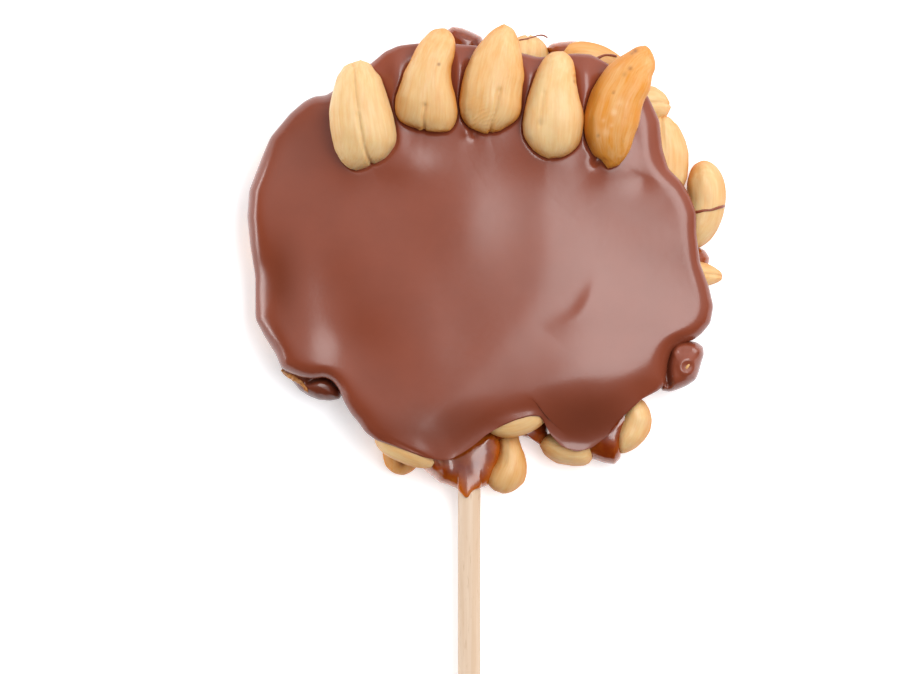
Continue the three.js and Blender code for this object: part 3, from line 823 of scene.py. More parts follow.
# By slot: the finish, what makes it, and the settings that it follows
FINISHES = {
    "milk_chocolate": ("milk_chocolate_poured", poured_chocolate_finish, "lollipop_chocolate"),
    "caramel": ("caramel_cooked", caramel_finish, "lollipop_caramel"),
    "cashew": ("cashew_roasted", cashew_finish, "lollipop_cashew"),
    "birch": ("birch_turned", birch_finish, "lollipop_stick"),
}


def made_finish(slot):
    """The finish of a slot, made the first time it is asked for."""
    name, maker, settings = FINISHES[slot]
    return bpy.data.materials.get(name) or maker(name, getattr(bpy.context.scene, settings))


# Cashews

END_ROUNDNESS = 2.4


def fullness(t, nut):
    """How full a nut is along its length, from -1 at the base to 1 at the tip."""
    power = np.where(t < 0, nut["blunt"], END_ROUNDNESS)
    return np.sqrt(np.maximum(1 - np.abs(t) ** power, 0)) * (1 - nut["taper"] * t)


def nut_rings(nut, along_count, around_count):
    """Rings of a nut's smooth skin, and where their points lie along, across and up in the nut itself."""
    reach = nut["length"] / 2
    radius = reach ** 2 / (2 * nut["bend"]) + nut["bend"] / 2
    half = math.asin(reach / radius)
    t = -np.cos(np.pi * np.arange(1, along_count) / along_count)
    size = fullness(t, nut) / fullness(np.linspace(-0.95, 0.95, 39), nut).max()
    angle = 2 * np.pi * np.arange(around_count) / around_count
    across = np.outer(size, np.sin(angle)) * nut["width"] / 2
    up = np.outer(size, np.cos(angle)) * nut["depth"] / 2
    turn = (t * half)[:, None]
    out = radius + up
    local = np.stack([out * np.sin(turn), across, out * np.cos(turn) - radius + nut["bend"] / 2], axis=2)
    own = np.stack([np.broadcast_to((t * reach)[:, None], up.shape), across, up], axis=2)
    return nut["middle"] + local @ nut["axes"], own


def known_nut(name):
    """Sizes, middle and axes of a nut, the same as its solid's."""
    nut = dict(NUTS[name])
    base, tip = np.array(nut["base"]), np.array(nut["tip"])
    nut["length"] = np.hypot(*(tip - base))
    nut["middle"] = np.array([*(base + tip) / 2, nut["z"]])
    along = np.array([*(tip - base) / nut["length"], 0])
    left = np.array([-along[1], along[0], 0])
    roll = math.radians(nut["roll"])
    back = left * math.sin(roll) + np.array([0, 0, math.cos(roll)])
    nut["axes"] = np.array([along, np.cross(back, along), back])
    return nut


def fit_outline(points, nut, outline):
    """Points of a nut moved sideways and along, so that it fills an outline seen from above."""
    along = nut["axes"][0][:2] / np.linalg.norm(nut["axes"][0][:2])
    across = np.array([-along[1], along[0]])
    base = nut["middle"][:2]
    s = (points[:, :2] - base) @ along
    u = (points[:, :2] - base) @ across
    curve = closed_curve(outline, 400, 0.35) - base
    cs, cu = curve @ along, curve @ across
    place = (s - s.min()) / (s.max() - s.min())
    stations = 0.5 - 0.5 * np.cos(np.pi * np.arange(1, 48) / 48)
    now_low, now_high, want_low, want_high = [], [], [], []
    want_place = (cs - cs.min()) / (cs.max() - cs.min())
    following = np.roll(want_place, -1)
    for station in stations:
        near = np.abs(place - station) < 0.012
        now_low.append(u[near].min())
        now_high.append(u[near].max())
        crossing = (want_place - station) * (following - station) <= 0
        gap = np.where(np.abs(following - want_place) < 1e-9, 1, following - want_place)
        hits = cu + (np.roll(cu, -1) - cu) * (station - want_place) / gap
        want_low.append(hits[crossing].min())
        want_high.append(hits[crossing].max())
    now_low, now_high, want_low, want_high = map(np.array, (now_low, now_high, want_low, want_high))
    ratio = np.interp(place, stations, (want_high - want_low) / (now_high - now_low))
    now_middle = np.interp(place, stations, (now_high + now_low) / 2)
    want_middle = np.interp(place, stations, (want_high + want_low) / 2)
    fitted = want_middle + (u - now_middle) * ratio
    reach = cs.min() + place * (cs.max() - cs.min())
    moved = points.copy()
    moved[:, :2] = base + reach[:, None] * along + fitted[:, None] * across
    return moved


def carve_splits(swell, points, own, back, splits, look, seed):
    """Lowers the skin where the two halves of the kernel part along the back."""
    if splits is None:
        wander = 0.5 * lumps(own * (1, 0, 0), 7.0, seed)
        swell -= np.where(back, look.split_depth * bell(own[:, 1] - wander, 0.35), 0)
    for pixels, depth, width in splits or ():
        distance, along = distance_to_traced(points[:, :2], pixels, CLAW_BACK, 40)
        fading = np.clip(np.minimum(along, 1 - along) * 12 + 0.25, 0, 1)
        groove = depth * bell(distance, width) + 0.25 * depth * bell(distance, 1.4)
        swell -= np.where(back, groove * fading, 0)


def fold_wrinkles(swell, points, own, back, wrinkles, seed):
    """Adds fine wrinkles, side by side, over a part of the back."""
    offset = offset_from(points[:, :2], wrinkles["at"], wrinkles["size"], CLAW_BACK)
    mask = np.exp(-((offset ** 2).sum(axis=1)) ** 1.5)
    heading = np.array(wrinkles["along"]) / np.hypot(*wrinkles["along"])
    phase = (points[:, :2] @ (-heading[1], heading[0])) / wrinkles["spacing"]
    phase = phase + 0.9 * lumps(own, 2.2, seed)
    swell += np.where(back, wrinkles["depth"] * mask * np.sin(2 * np.pi * phase), 0)


def press_marks(swell, points, back, marks):
    """Lowers the skin at dark marks, and returns how dark or pale each point is, from 1 to -1."""
    total = np.zeros(len(points))
    for at, radius, strength in marks:
        distance = np.hypot(*(points[:, :2] - from_photo(at, CLAW_BACK)).T)
        spot = strength * bell(distance, radius) * back
        total += spot
        swell -= 0.12 * np.maximum(spot, 0)
    return np.clip(total, -1, 1)


def roast_nut(name, look, fineness):
    """One roasted cashew in the place of its solid."""
    nut = known_nut(name)
    traits = NUT_LOOKS.get(name, {})
    seed = sum(ord(letter) * (k + 1) for k, letter in enumerate(name)) % 97
    rings, own = nut_rings(nut, *fineness)
    sag = nut["bend"] / 2 * nut["axes"][2]
    ends = [nut["middle"] + side * nut["length"] / 2 * nut["axes"][0] - sag for side in (-1, 1)]
    points, faces = skin(rings, *ends)
    reach = nut["length"] / 2
    own = np.vstack([[(-reach, 0, 0)], own.reshape(-1, 3), [(reach, 0, 0)]])
    if "outline" in traits:
        points = fit_outline(points, nut, from_photo(traits["outline"], OUTLINE_HEIGHT))
    direction = outward(points, faces)
    # Shallow lumps, and ridges that run along the nut
    swell = 0.22 * lumps(own, 6.0, seed) + 0.1 * lumps(own, 2.6, seed + 1)
    swell += look.ridge_height * lumps(own * (0.12, 1, 1), 1.1, seed + 2)
    back = own[:, 2] > 0
    carve_splits(swell, points, own, back, traits.get("splits"), look, seed + 3)
    if "wrinkles" in traits:
        fold_wrinkles(swell, points, own, back, traits["wrinkles"], seed + 5)
    mark = press_marks(swell, points, back, traits.get("marks", ()))
    points = points + direction * swell[:, None]
    points[:, 2] = np.maximum(points[:, 2], 0.02)
    # The ends took more heat than the back. The flanks are more golden, partly from toasting and partly as
    # painted shade where they turn down from the top
    flank_toast_and_shade = np.clip(0.9 - 1.25 * direction[:, 2], 0, 1)
    ends_toast = np.clip((np.abs(own[:, 0]) / reach - 0.72) * 1.6, 0, 1)
    toast = traits.get("toast", PLAIN_TOAST) + traits.get("flank_toast_and_shade", PLAIN_FLANK_TOAST_AND_SHADE) * flank_toast_and_shade + 0.12 * ends_toast
    make_piece(name + "_roasted", points, faces, "cashew", [name], nut_mm=own + seed, toast=toast, mark=mark)


# Chocolate

# How far the coat's top falls from its middle to near its edge, and how far out that is
CROWN_DROP = 1.2
CROWN_REACH = 49.0
# The height inside the coat where its mesh closes
COAT_INSIDE = 13.0
# How far from a nut, and how far below the bases of the claws, the coat still rises to them
NUT_REACH = 13.0
SETTLE_REACH = 24


def coat_patch(places, pixel, size):
    """1 at a pixel of the coat, falling smoothly to 0 over half widths in pixels."""
    return np.exp(-(offset_from(places, pixel, size, COAT_TOP) ** 2).sum(axis=1))


def coat_top(places):
    """Height of the poured coat's top at plan positions, before its edge rolls down."""
    height = COAT_TOP - CROWN_DROP * (np.hypot(*places.T) / CROWN_REACH) ** 2
    for _, pixel, size, by in COAT_RELIEF:
        height += by * coat_patch(places, pixel, size)
    height += 0.1 * lumps(raised(places, 0), 12.0, 11)
    for fall in (RIGHT_FALL, LOBE_FALL):
        line = open_curve(from_photo(fall["line"], COAT_TOP), 60)
        steps = open_curve(np.column_stack([np.linspace(0, 1, len(fall["slopes"])), fall["slopes"]]), 200)
        slope = np.interp(share_of_chord(places, line), steps[:, 0], steps[:, 1])
        height -= slope * fall["start"] * np.logaddexp(0, side_of_line(places, line) / fall["start"])
    dent = open_curve(from_photo(DENT["line"], COAT_TOP), 40)
    beyond = side_of_line(places, dent)
    fading = np.sin(math.pi * share_of_chord(places, dent)) ** 1.5
    step = DENT["step"] / (1 + np.exp(-beyond / DENT["width"]))
    return height + fading * step * bell(np.maximum(beyond, 0), DENT["reach"])


def coat_painted_shade(points):
    """How much painted shade darkens the coat at points, from 0 to 1."""
    lighter = np.ones(len(points))
    for _, pixel, size, share in COAT_PAINTED_SHADE:
        lighter *= 1 - share * coat_patch(points[:, :2], pixel, size)
    return 1 - lighter


def by_bearing(loop, table):
    """Values of a table of bearings in degrees from +X, at a loop's points."""
    bearings, values = np.array(table, float).T
    return np.interp(np.degrees(np.arctan2(loop[:, 1], loop[:, 0])) % 360, bearings, values, period=360)


def inward(loop):
    """Unit direction into a closed clockwise loop at each of its points."""
    step = np.roll(loop, -1, axis=0) - np.roll(loop, 1, axis=0)
    step /= np.maximum(np.hypot(*step.T), 1e-9)[:, None]
    area = np.sum(loop[:, 0] * np.roll(loop[:, 1], -1) - np.roll(loop[:, 0], -1) * loop[:, 1])
    turn = 1 if area < 0 else -1
    return np.column_stack([step[:, 1], -step[:, 0]]) * turn


def inset(rim, depth):
    """Loop that lies a depth inside the rim, smoother the deeper it is."""
    spacing = np.hypot(*np.diff(rim, axis=0).T).mean()
    depth = np.zeros((len(rim), 1)) + np.reshape(depth, (-1, 1))
    smooth = soften(rim, 0.55 * depth.mean() / spacing)
    to_middle = -smooth / np.hypot(*smooth.T)[:, None]
    share = np.clip(depth / 5, 0, 1)
    direction = (1 - share) * inward(smooth) + share * to_middle
    return smooth + direction / np.hypot(*direction.T)[:, None] * depth


def coat_rings(rim, look, low_nuts):
    """Rings of the coat from the middle of its top, over the rolled edge and the lip, to inside it."""
    lip = by_bearing(rim, LIP_HEIGHTS)
    for depth in (0.3, 1.5):
        lip = np.maximum(lip, drop_onto(low_nuts, inset(rim, depth), 0) - 0.3)
    lip = soften(lip, 5)
    roll = soften(by_bearing(rim, ROLL_WIDTHS), 8)
    first = inset(rim, roll)
    loops = [first * share ** 0.9 for share in np.linspace(0, 1, look.top_rows + 1)[1:]]
    rings = [raised(loop, coat_top(loop)) for loop in loops]
    # The edge is widest a little above the lip, and nowhere above the top
    widest = lip + 0.38 * (soften(coat_top(first), 8) - lip)
    widest = soften(np.minimum(widest, np.maximum(coat_top(rim) - 0.4, lip + 0.5)), 5)
    for turn in np.radians(np.linspace(0, 90, look.roll_rows + 1)[1:]):
        loop = inset(rim, roll * (1 - math.sin(turn)))
        share = math.sqrt(max(1 - math.sin(turn) ** look.roll_fullness, 0))
        rings.append(raised(loop, widest + (coat_top(loop) - widest) * share))
    for turn in np.radians(np.linspace(0, 100, 9)[1:]):
        loop = inset(rim, 0.85 * (1 - math.cos(turn)))
        rings.append(raised(loop, widest - (widest - lip) * math.sin(turn)))
    rings.append(raised(inset(rim, 3.2), lip + 0.4))
    rings.append(raised(inset(rim, 6.0), np.maximum(lip + 0.8, 10.0)))
    rings.append(raised(inset(rim, 9.0), COAT_INSIDE))
    return np.array(rings)


def drape_over(points, tree, cover):
    """Raises points so that they lie at least a cover above what is below them."""
    for k, (x, y, z) in enumerate(points):
        hit = hit_below(tree, x, y)
        if hit and hit.z + cover > z - 2.4:
            points[k, 2] = z + 0.4 * np.logaddexp(0, (hit.z + cover - z) / 0.4)


def settle_on_nuts(points, trees, look, from_height):
    """Chocolate drawn up round each nut, with a fine crease where it meets it."""
    for k in range(len(points)):
        if points[k, 2] < from_height or points[k, 1] < look.claw_line - SETTLE_REACH:
            continue
        found = [tree.find_nearest(Vector(points[k]), NUT_REACH)[3] for tree in trees]
        distances = [distance for distance in found if distance is not None]
        if not distances:
            continue
        clear = math.prod(1 - math.exp(-((distance / look.contact_reach) ** 1.4)) for distance in distances)
        below_claws = 1 / (1 + math.exp((points[k, 1] - look.claw_line) / 2.5))
        rise = look.contact_rise * below_claws * (1 - clear)
        crease = look.contact_crease * math.exp(-((min(distances) / 0.4) ** 2))
        points[k, 2] += rise - crease


def rounded_form(outline, low, high, columns, rows, squareness, softness):
    """Closed rounded form over an outline, between two heights or functions of plan position."""
    rim = closed_curve(outline, columns, softness)
    centre = rim.mean(axis=0)
    rings = []
    for turn in np.linspace(0, math.pi, 2 * rows + 1)[1:-1]:
        share = math.sin(turn)
        loop = centre + (rim - centre) * share
        top = high(loop) if callable(high) else np.full(columns, float(high))
        base = low(loop) if callable(low) else np.full(columns, float(low))
        middle = base + 0.45 * (top - base)
        bulge = (1 - share ** squareness) ** (1 / squareness)
        limit = top if turn < math.pi / 2 else base
        rings.append(raised(loop, middle + (limit - middle) * bulge))
    return skin(np.array(rings), rings[0].mean(axis=0), rings[-1].mean(axis=0))


def tube(path, radii, sides):
    """Closed round tube along a path of points."""
    rings = []
    for k, centre in enumerate(path):
        ahead = path[min(k + 1, len(path) - 1)] - path[max(k - 1, 0)]
        ahead /= np.linalg.norm(ahead)
        side = np.cross(ahead, (0, 0, 1))
        side /= np.linalg.norm(side)
        up = np.cross(side, ahead)
        angle = 2 * np.pi * np.arange(sides) / sides
        rings.append(centre + radii[k] * (np.outer(np.cos(angle), side) + np.outer(np.sin(angle), up)))
    return skin(np.array(rings), path[0], path[-1])


# Settings that a user would change

def colour_property(name, description, text):
    """Colour setting with its default as an sRGB hex value."""
    return bpy.props.FloatVectorProperty(
        name=name, description=description, subtype="COLOR", size=4, min=0, max=1, default=hex_colour(text)
    )


def number_property(name, description, default, **limits):
    """Plain number."""
    return bpy.props.FloatProperty(name=name, description=description, default=default, **limits)


def size_property(name, description, default):
    """Size in millimetres."""
    return number_property(name, description, default, min=0, max=50)


def count_property(name, description, default, least):
    """Number of faces."""
    return bpy.props.IntProperty(name=name, description=description, default=default, min=least)


class LollipopCashew(bpy.types.PropertyGroup):
    cream: colour_property("Cream", "Lightest colour of a roasted cashew", "#DFBD89")
    golden: colour_property("Golden", "Colour of a well toasted cashew", "#D2872A")
    scorched: colour_property("Scorched", "Colour of dark marks", "#7A3E16")
    scuffed: colour_property("Scuffed", "Colour of pale scuffs", "#EBCFA8")
    roughness: number_property("Roughness", "Dullness of the nut", 0.5, min=0, max=1)
    streak_width: size_property("Streak width", "Width in mm of the fine streaks along a nut", 0.45)
    blotch_size: size_property("Blotch size", "Size in mm of the toasted patches", 3.6)
    ridge_height: size_property("Ridge height", "Height in mm of the low ridges along a nut", 0.09)
    split_depth: size_property("Split depth", "Depth in mm of the split between a nut's halves", 0.4)


class LollipopChocolate(bpy.types.PropertyGroup):
    colour: colour_property("Colour", "Milk chocolate", "#83402B")
    roughness: number_property("Roughness", "Dullness of the set coat", 0.22, min=0, max=1)
    cloud_size: size_property("Cloud size", "Size in mm of the faint patches", 7.0)
    grain_size: size_property("Grain size", "Size in mm of the fine grain", 0.5)
    contact_rise: size_property("Contact rise", "How far in mm the coat climbs round a nut", 1.0)
    contact_reach: size_property("Contact reach", "How far in mm from a nut that climb starts", 4.2)
    claw_line: size_property("Claw line", "Distance in mm from the middle to the bases of the claws", 27.0)
    least_cover: size_property("Least cover", "Thinnest chocolate in mm over a nut", 0.4)
    roll_fullness: size_property("Roll fullness", "How late the edge turns down, 2 for a plain ellipse", 2.7)
    contact_crease: size_property("Contact crease", "Depth in mm of the crease against a nut", 0.7)
    top_rows: count_property("Top rows", "Rows of faces across the top", 72, 8)
    roll_rows: count_property("Roll rows", "Rows of faces round the edge", 26, 4)
    columns: count_property("Columns", "Faces round the edge", 820, 64)


class LollipopCaramel(bpy.types.PropertyGroup):
    colour: colour_property("Colour", "Caramel where it is thick", "#782A08")
    thin_colour: colour_property("Thin colour", "Caramel where light comes through it", "#C86A16")
    roughness: number_property("Roughness", "Dullness of the caramel", 0.22, min=0, max=1)
    side_cover: size_property("Side cover", "How far in mm the caramel lies inside the coat's edge", 3.5)
    stick_line: number_property("Stick line", "Where in mm along Y the stick leaves the caramel", -49.0)


class LollipopStick(bpy.types.PropertyGroup):
    colour: colour_property("Colour", "Birch early wood", "#DCC4AC")
    late_wood: colour_property("Late wood", "Birch late wood", "#CFB194")
    pore: colour_property("Pores", "Short darker lines", "#A67F58")
    grain_width: size_property("Grain width", "Width in mm of the grain lines", 0.5)


class LollipopStage(bpy.types.PropertyGroup):
    floor: colour_property("Floor", "Plain pale floor", "#F8F9FC")
    sky: number_property("Sky", "Strength of the light from all round", 0.85, min=0)
    softbox_power: number_property("Softbox", "Power of the light at the right", 3.85, min=0, unit="POWER")
    panel_power: number_property("Left panel", "Power of the light on the left", 1.5, min=0, unit="POWER")
    floor_glow: number_property("Floor glow", "Light that the floor itself gives", 0.4, min=0)


# Operators

# Rows and columns of faces of the claws, of the other nuts that show from above, and of the rest
CLAW_FINENESS = (130, 128)
SHOWN_FINENESS = (64, 72)
INNER_FINENESS = (36, 40)


class LOLLIPOP_OT_roast_cashews(bpy.types.Operator):
    """Makes every cashew, split and toasted, in the place of its solid"""

    bl_idname = "lollipop.roast_cashews"
    bl_label = "Roast cashews"

    def execute(self, context):
        for name in NUTS:
            fineness = SHOWN_FINENESS if name in NUT_LOOKS else INNER_FINENESS
            if name.startswith("claw"):
                fineness = CLAW_FINENESS
            roast_nut(name, context.scene.lollipop_cashew, fineness)
        return {"FINISHED"}


class LOLLIPOP_OT_pour_chocolate(bpy.types.Operator):
    """Pours the milk chocolate coat round the nuts"""

    bl_idname = "lollipop.pour_chocolate"
    bl_label = "Pour chocolate"

    def execute(self, context):
        look = context.scene.lollipop_chocolate
        rim = closed_curve(from_photo(COAT_RIM, RIM_HEIGHT), look.columns, 0.55)
        low_nuts = search_tree([piece for piece in made_nuts() if not piece.name.startswith("claw")])
        claws = [search_tree([piece]) for piece in made_nuts() if piece.name.startswith("claw")]
        middle = (0, 0, coat_top(np.zeros((1, 2)))[0])
        points, faces = skin(coat_rings(rim, look, low_nuts), middle, (0, 0, COAT_INSIDE))
        covering = 1 + (look.top_rows + int(0.85 * look.roll_rows)) * look.columns
        drape_over(points[:covering], low_nuts, look.least_cover)
        settle_on_nuts(points, claws, look, COAT_INSIDE)
        # Painted shade over the coat's lobes, valley and hollows
        thick = coat_painted_shade(points)
        make_piece("coat_poured", points, faces, "milk_chocolate", ["chocolate_coat"], thick=thick)
        return {"FINISHED"}


class LOLLIPOP_OT_wrap_outer_nuts(bpy.types.Operator):
    """Wraps the knob and the nut at the torn corner in chocolate, and lays the fine threads"""

    bl_idname = "lollipop.wrap_outer_nuts"
    bl_label = "Wrap outer nuts"

    def execute(self, context):
        self.wrap_knob()
        self.wrap_corner()
        self.lay_threads()
        return {"FINISHED"}

    def wrap_knob(self):
        points, faces = rounded_form(from_photo(KNOB_OUTLINE, 9), 2.4, 12.6, 190, 30, 2.3, 0.35)
        plan = points[:, :2]
        upper = points[:, 2] > 7.0
        crease = distance_to_traced(plan, KNOB_CREASE, RIM_HEIGHT, 24)[0]
        ridge = distance_to_traced(plan, KNOB_RIDGE, RIM_HEIGHT, 24)[0]
        spot = from_photo(KNOB_BARE_SPOT["at"], RIM_HEIGHT)
        height = -1.6 * bell(crease, 0.75) + 0.55 * bell(ridge, 0.8)
        height += 0.3 * bell(np.hypot(*(plan - spot).T) - 1.6, 0.7) + 0.15 * lumps(points, 3.0, 21)
        points[:, 2] += np.where(upper, height, 0)
        # Painted shade: darkest in the crease beside the coat, and a little over the knob's lower part
        thick = np.where(upper, bell(crease, 0.8), 0.2)
        make_piece("knob_wrapped", points, faces, "milk_chocolate", thick=thick)
        # The nut's back, bare in an oval spot
        top = drop_onto(BVHTree.FromPolygons(points.tolist(), faces), [spot], 11.0)[0]
        turn = math.radians(KNOB_BARE_SPOT["turn"])
        angle = np.linspace(0, 2 * math.pi, 60, endpoint=False)
        wide, long = np.array(KNOB_BARE_SPOT["size"]) * PIXEL_MM
        oval = np.column_stack([wide * np.cos(angle), long * np.sin(angle)])
        twist = np.array([[math.cos(turn), -math.sin(turn)], [math.sin(turn), math.cos(turn)]])
        nut, nut_faces = rounded_form(spot + oval @ twist, top - 2.5, top + 0.22, 80, 14, 2.0, 0.05)
        own = (nut - nut.mean(axis=0))[:, [1, 0, 2]]
        make_piece(
            "knob_nut_bare_back", nut, nut_faces, "cashew", ["knob_nut"],
            nut_mm=own, toast=np.full(len(nut), 0.5), mark=np.zeros(len(nut)),
        )

    def wrap_corner(self):
        points, faces = rounded_form(from_photo(CORNER_OUTLINE, 8), 1.0, 10.6, 190, 30, 2.2, 0.35)
        points[:, 2] += np.where(points[:, 2] > 5, 0.2 * lumps(points, 2.5, 31), 0)
        cavity = distance_to_traced(points[:, :2], CORNER_CAVITY, 9, 24)[0]
        # Painted shade, deepest in the torn cavity; the rest of the nut is darker too
        thick = 0.65 + 0.35 * bell(cavity, 1.0)
        points[:, 2] -= np.where(points[:, 2] > 5, 1.6 * bell(cavity, 0.8), 0)
        make_piece("corner_nut_wrapped", points, faces, "milk_chocolate", ["corner_nut"], thick=thick)
        # The crust along the tear
        line = open_curve(from_photo(CORNER_CRUST, 9), 60)
        heights = drop_onto(BVHTree.FromPolygons(points.tolist(), faces), line, 6.0)
        path = raised(line, np.minimum(np.maximum(heights, 7.0) + 0.1, 9.6))
        radii = 0.62 * np.sin(np.linspace(0.25, math.pi - 0.2, 60)) ** 0.6
        crust, crust_faces = tube(path, radii, 24)
        crumbly = 0.16 * lumps(crust, 0.8, 33) + 0.1 * lumps(crust, 0.4, 34)
        crust += outward(crust, crust_faces) * crumbly[:, None]
        make_piece(
            "torn_crust", crust, crust_faces, "cashew",
            nut_mm=crust.copy(), toast=np.full(len(crust), 0.7), mark=0.4 + 0.5 * lumps(crust, 0.6, 35),
        )

    def lay_threads(self):
        tree = search_tree(made_nuts())
        place = np.arange(40)
        swelling = 1 + 0.15 * np.sin(np.linspace(0, 9, 40))
        taper = np.clip(np.minimum(place, 39 - place) / 2.0 + 0.4, 0, 1)
        for number, thread in enumerate(CHOCOLATE_THREADS, 1):
            line = open_curve(from_photo(thread["line"], RIM_HEIGHT), 40)
            heights = np.pad(drop_onto(tree, line, 8.0), 2, mode="edge")
            heights = np.convolve(heights, np.ones(5) / 5, mode="valid")
            points, faces = tube(raised(line, heights + 0.1), thread["radius"] * swelling * taper, 14)
            make_piece(f"chocolate_thread_{number}", points, faces, "milk_chocolate")


# The caramel's flat top, and its side from the top down: how far inside its edge and how high each ring lies
CARAMEL_TOP = 12.4
CARAMEL_SIDE = [
    (4.2, 12.2), (3.0, 11.6), (2.0, 10.6), (1.2, 9.4), (0.6, 8.0), (0.2, 6.4), (0.0, 4.6), (0.1, 2.8),
    (0.5, 1.2), (1.0, 0.3),
]
CARAMEL_COLUMNS = 560
# How high over the floor a nut can lie and still leave its opening in the caramel below it
OPENING_LIMIT = 2.3


class LOLLIPOP_OT_pour_caramel(bpy.types.Operator):
    """Makes the caramel that holds the nuts, with its drip and the lobes between the nuts"""

    bl_idname = "lollipop.pour_caramel"
    bl_label = "Pour caramel"

    def execute(self, context):
        look = context.scene.lollipop_caramel
        self.pour_body(look)
        for lobe in CARAMEL_LOBES:
            self.add_lobe(lobe, look)
        return {"FINISHED"}

    def pour_body(self, look):
        rim = inset(closed_curve(from_photo(COAT_RIM, RIM_HEIGHT), CARAMEL_COLUMNS, 0.9), look.side_cover)
        bulge = soften(0.5 * lumps(raised(rim, 0), 6.0, 41), 2)
        top_rim = inset(rim, 5.5)
        rings = [raised(top_rim * share, CARAMEL_TOP) for share in np.linspace(0, 1, 15)[1:]]
        rings += [raised(inset(rim, depth - bulge), height) for depth, height in CARAMEL_SIDE]
        tree = search_tree(made_nuts())
        floor_rim = inset(rim, 1.3)
        for share in np.linspace(1, 0, 62)[:-1]:
            loop = floor_rim * share
            heights = np.zeros(CARAMEL_COLUMNS)
            for k, (x, y) in enumerate(loop):
                hit = tree.ray_cast(Vector((x, y, -1)), Vector((0, 0, 1)), 4.0)[0]
                if hit and hit.z < OPENING_LIMIT:
                    heights[k] = hit.z + 0.5
            rings.append(raised(loop, heights))
        points, faces = skin(np.array(rings), (0, 0, CARAMEL_TOP), (0, 0, 0))
        make_piece("caramel_body", points, faces, "caramel", ["caramel"], thin=np.zeros(len(points)))

    def add_lobe(self, lobe, look):
        def top(places):
            height = lobe["high"] + 0.12 * lumps(raised(places, 0), 3.5, 51)
            for ridge in lobe.get("ridges", ()):
                distance, along = distance_to_traced(places, ridge["line"], RIM_HEIGHT, 30)
                height += ridge["height"] * bell(distance, ridge["width"]) * (1 - 0.3 * along)
            return height

        stick_low, stick_high, radius = stick_box()

        def bottom(places):
            # Outside the head the caramel lies on the stick, and elsewhere it goes down to its lowest point
            sideways = np.clip(np.abs(places[:, 0] - (stick_low[0] + stick_high[0]) / 2) / radius, 0, 1)
            on_stick = stick_high[2] - radius * (1 - np.sqrt(1 - sideways ** 2)) - 0.5
            beyond = np.clip((look.stick_line - places[:, 1]) / 1.5, 0, 1)
            return np.where(sideways < 1, lobe["low"] + beyond * (on_stick - lobe["low"]), lobe["low"])

        outline = from_photo(lobe["outline"], 7)
        points, faces = rounded_form(outline, bottom, top, 320, 36, lobe.get("squareness", 2.3), 0.35)
        rim = closed_curve(outline, 220, 0.35)
        distance = distance_to_line(points[:, :2], np.vstack([rim, rim[:1]]))[0]
        points[:, 2] = np.maximum(points[:, 2], 0.01)
        make_piece(lobe["name"], points, faces, "caramel", thin=lobe["thin"] * np.exp(-distance / 1.8))


STICK_SIDES = 72
STICK_SOFTENED = 0.7


class LOLLIPOP_OT_turn_stick(bpy.types.Operator):
    """Turns the round birch stick"""

    bl_idname = "lollipop.turn_stick"
    bl_label = "Turn stick"

    def execute(self, context):
        low, high, radius = stick_box()
        middle = (low + high) / 2
        length = high[1] - low[1]
        profile = [(0.55 * radius, 0.0)]
        for turn in np.radians(np.linspace(0, 90, 8)):
            inside = STICK_SOFTENED * (1 - math.sin(turn))
            profile.append((radius - inside, STICK_SOFTENED * (1 - math.cos(turn))))
        body = [(radius, y) for y in np.linspace(STICK_SOFTENED, length - STICK_SOFTENED, 60)[1:-1]]
        far = [(r, length - y) for r, y in profile[::-1]]
        angle = 2 * np.pi * np.arange(STICK_SIDES) / STICK_SIDES
        rings = []
        for r, y in profile + body + far:
            ring = np.column_stack([r * np.cos(angle), np.full(STICK_SIDES, low[1] + y), r * np.sin(angle)])
            rings.append(ring + (middle[0], 0, middle[2]))
        ends = [(middle[0], y, middle[2]) for y in (low[1], high[1])]
        points, faces = skin(np.array(rings), *ends)
        make_piece("stick_turned", points, faces, "birch", ["stick"])
        return {"FINISHED"}


# Where each light hangs, where it points, and its two sides, in millimetres
LIGHTS = {
    "softbox": ((245, 140, 610), (245, 140, 0), (330, 680)),
    "left_panel": ((-520, 40, 70), (-20, 0, 10), (500, 110)),
}
# The way that the sky is brightest
SKY_TOWARD = (0.3, 0.62, 0.72)
FLOOR_REACH_M = 4.0


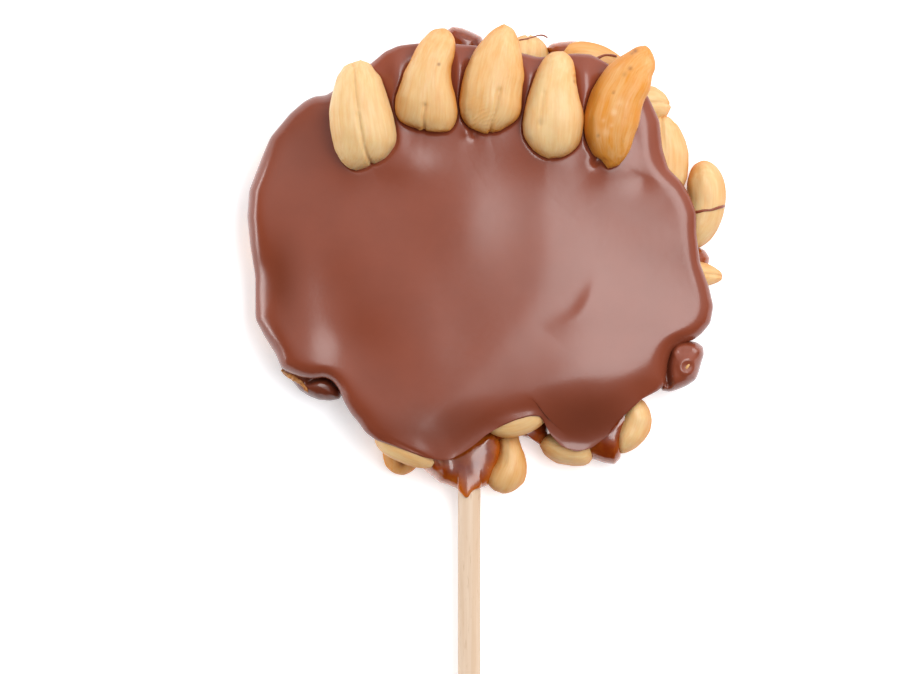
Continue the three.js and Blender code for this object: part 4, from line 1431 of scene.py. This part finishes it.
class LOLLIPOP_OT_set_stage(bpy.types.Operator):
    """Sets the pale floor, the soft studio light and the camera straight above"""

    bl_idname = "lollipop.set_stage"
    bl_label = "Set stage"

    def execute(self, context):
        look = context.scene.lollipop_stage
        context.scene.view_settings.view_transform = "Standard"
        self.lay_floor(look)
        self.light_sky(context, look)
        self.hang_light("softbox", look.softbox_power)
        self.hang_light("left_panel", look.panel_power)
        camera = bpy.data.objects.new("camera", bpy.data.cameras.new("camera"))
        camera.data.lens = LENS_MM
        camera.data.sensor_width = SENSOR_MM
        camera.data.clip_end = 10
        camera.location = Vector((*CAMERA_SPOT, SHARP_HEIGHT + CAMERA_DISTANCE)) * MM
        context.scene.collection.objects.link(camera)
        context.scene.camera = camera
        return {"FINISHED"}

    def lay_floor(self, look):
        mesh = bpy.data.meshes.new("floor")
        corners = [(x * FLOOR_REACH_M, y * FLOOR_REACH_M) for x, y in ((-1, -1), (1, -1), (1, 1), (-1, 1))]
        mesh.from_pydata([(x, y, -0.05 * MM) for x, y in corners], [], [(0, 1, 2, 3)])
        glow = {"Emission_Color": (1, 1, 1, 1), "Emission_Strength": look.floor_glow}
        finish, tree, shader = new_finish("floor_opal_acrylic", Roughness=0.9, **glow)
        place = add_node(tree, "ShaderNodeTexCoord").outputs["Object"]
        cloudy = mixed(tree, pattern(tree, place, 2.0), look.floor, shade(look.floor, 0.99))
        tree.links.new(cloudy, shader.inputs["Base Color"])
        mesh.materials.append(finish)
        floor = bpy.data.objects.new("floor", mesh)
        bpy.context.scene.collection.objects.link(floor)

    def light_sky(self, context, look):
        world = bpy.data.worlds.new("studio")
        world.use_nodes = True
        tree = world.node_tree
        tree.nodes.clear()
        facing = add_node(tree, "ShaderNodeTexCoord").outputs["Generated"]
        toward = add_node(
            tree, "ShaderNodeVectorMath", {1: SKY_TOWARD}, {0: facing}, operation="DOT_PRODUCT"
        ).outputs["Value"]
        links = {"Strength": spread(tree, toward, 0.2, 1.0, look.sky * 0.02, look.sky * 1.6)}
        light = add_node(tree, "ShaderNodeBackground", {"Color": (0.97, 0.985, 1.0, 1)}, links)
        add_node(tree, "ShaderNodeOutputWorld", links={"Surface": light.outputs[0]})
        context.scene.world = world

    def hang_light(self, name, power):
        place, aim, size = LIGHTS[name]
        lamp = bpy.data.lights.new(name, "AREA")
        lamp.shape = "RECTANGLE"
        lamp.size, lamp.size_y = (side * MM for side in size)
        lamp.energy = power
        holder = bpy.data.objects.new(name, lamp)
        holder.location = Vector(place) * MM
        holder.rotation_euler = (Vector(place) - Vector(aim)).to_track_quat("Z", "Y").to_euler()
        holder.visible_camera = False
        bpy.context.scene.collection.objects.link(holder)


class VIEW3D_PT_lollipop(bpy.types.Panel):
    """Lists the steps that dress the lollipop"""

    bl_label = "Lollipop"
    bl_space_type = "VIEW_3D"
    bl_region_type = "UI"
    bl_category = "Lollipop"

    def draw(self, context):
        for operator in OPERATORS:
            self.layout.operator(operator.bl_idname)
        for field in SETTINGS:
            group = getattr(context.scene, field)
            box = self.layout.box()
            box.label(text=field.replace("_", " ").capitalize())
            for setting in group.bl_rna.properties.keys():
                if setting not in ("rna_type", "name"):
                    box.prop(group, setting)


SETTINGS = {
    "lollipop_cashew": LollipopCashew,
    "lollipop_chocolate": LollipopChocolate,
    "lollipop_caramel": LollipopCaramel,
    "lollipop_stick": LollipopStick,
    "lollipop_stage": LollipopStage,
}
OPERATORS = [
    LOLLIPOP_OT_set_stage,
    LOLLIPOP_OT_roast_cashews,
    LOLLIPOP_OT_pour_chocolate,
    LOLLIPOP_OT_wrap_outer_nuts,
    LOLLIPOP_OT_pour_caramel,
    LOLLIPOP_OT_turn_stick,
]


def register():
    for field, group in SETTINGS.items():
        bpy.utils.register_class(group)
        setattr(bpy.types.Scene, field, bpy.props.PointerProperty(type=group))
    for operator in OPERATORS:
        bpy.utils.register_class(operator)
    bpy.utils.register_class(VIEW3D_PT_lollipop)


def unregister():
    bpy.utils.unregister_class(VIEW3D_PT_lollipop)
    for operator in reversed(OPERATORS):
        bpy.utils.unregister_class(operator)
    for field, group in SETTINGS.items():
        delattr(bpy.types.Scene, field)
        bpy.utils.unregister_class(group)


def main():
    register()
    bpy.ops.lollipop.set_stage()
    bpy.ops.lollipop.roast_cashews()
    bpy.ops.lollipop.pour_chocolate()
    bpy.ops.lollipop.wrap_outer_nuts()
    bpy.ops.lollipop.pour_caramel()
    bpy.ops.lollipop.turn_stick()


if __name__ == "__main__":
    main()
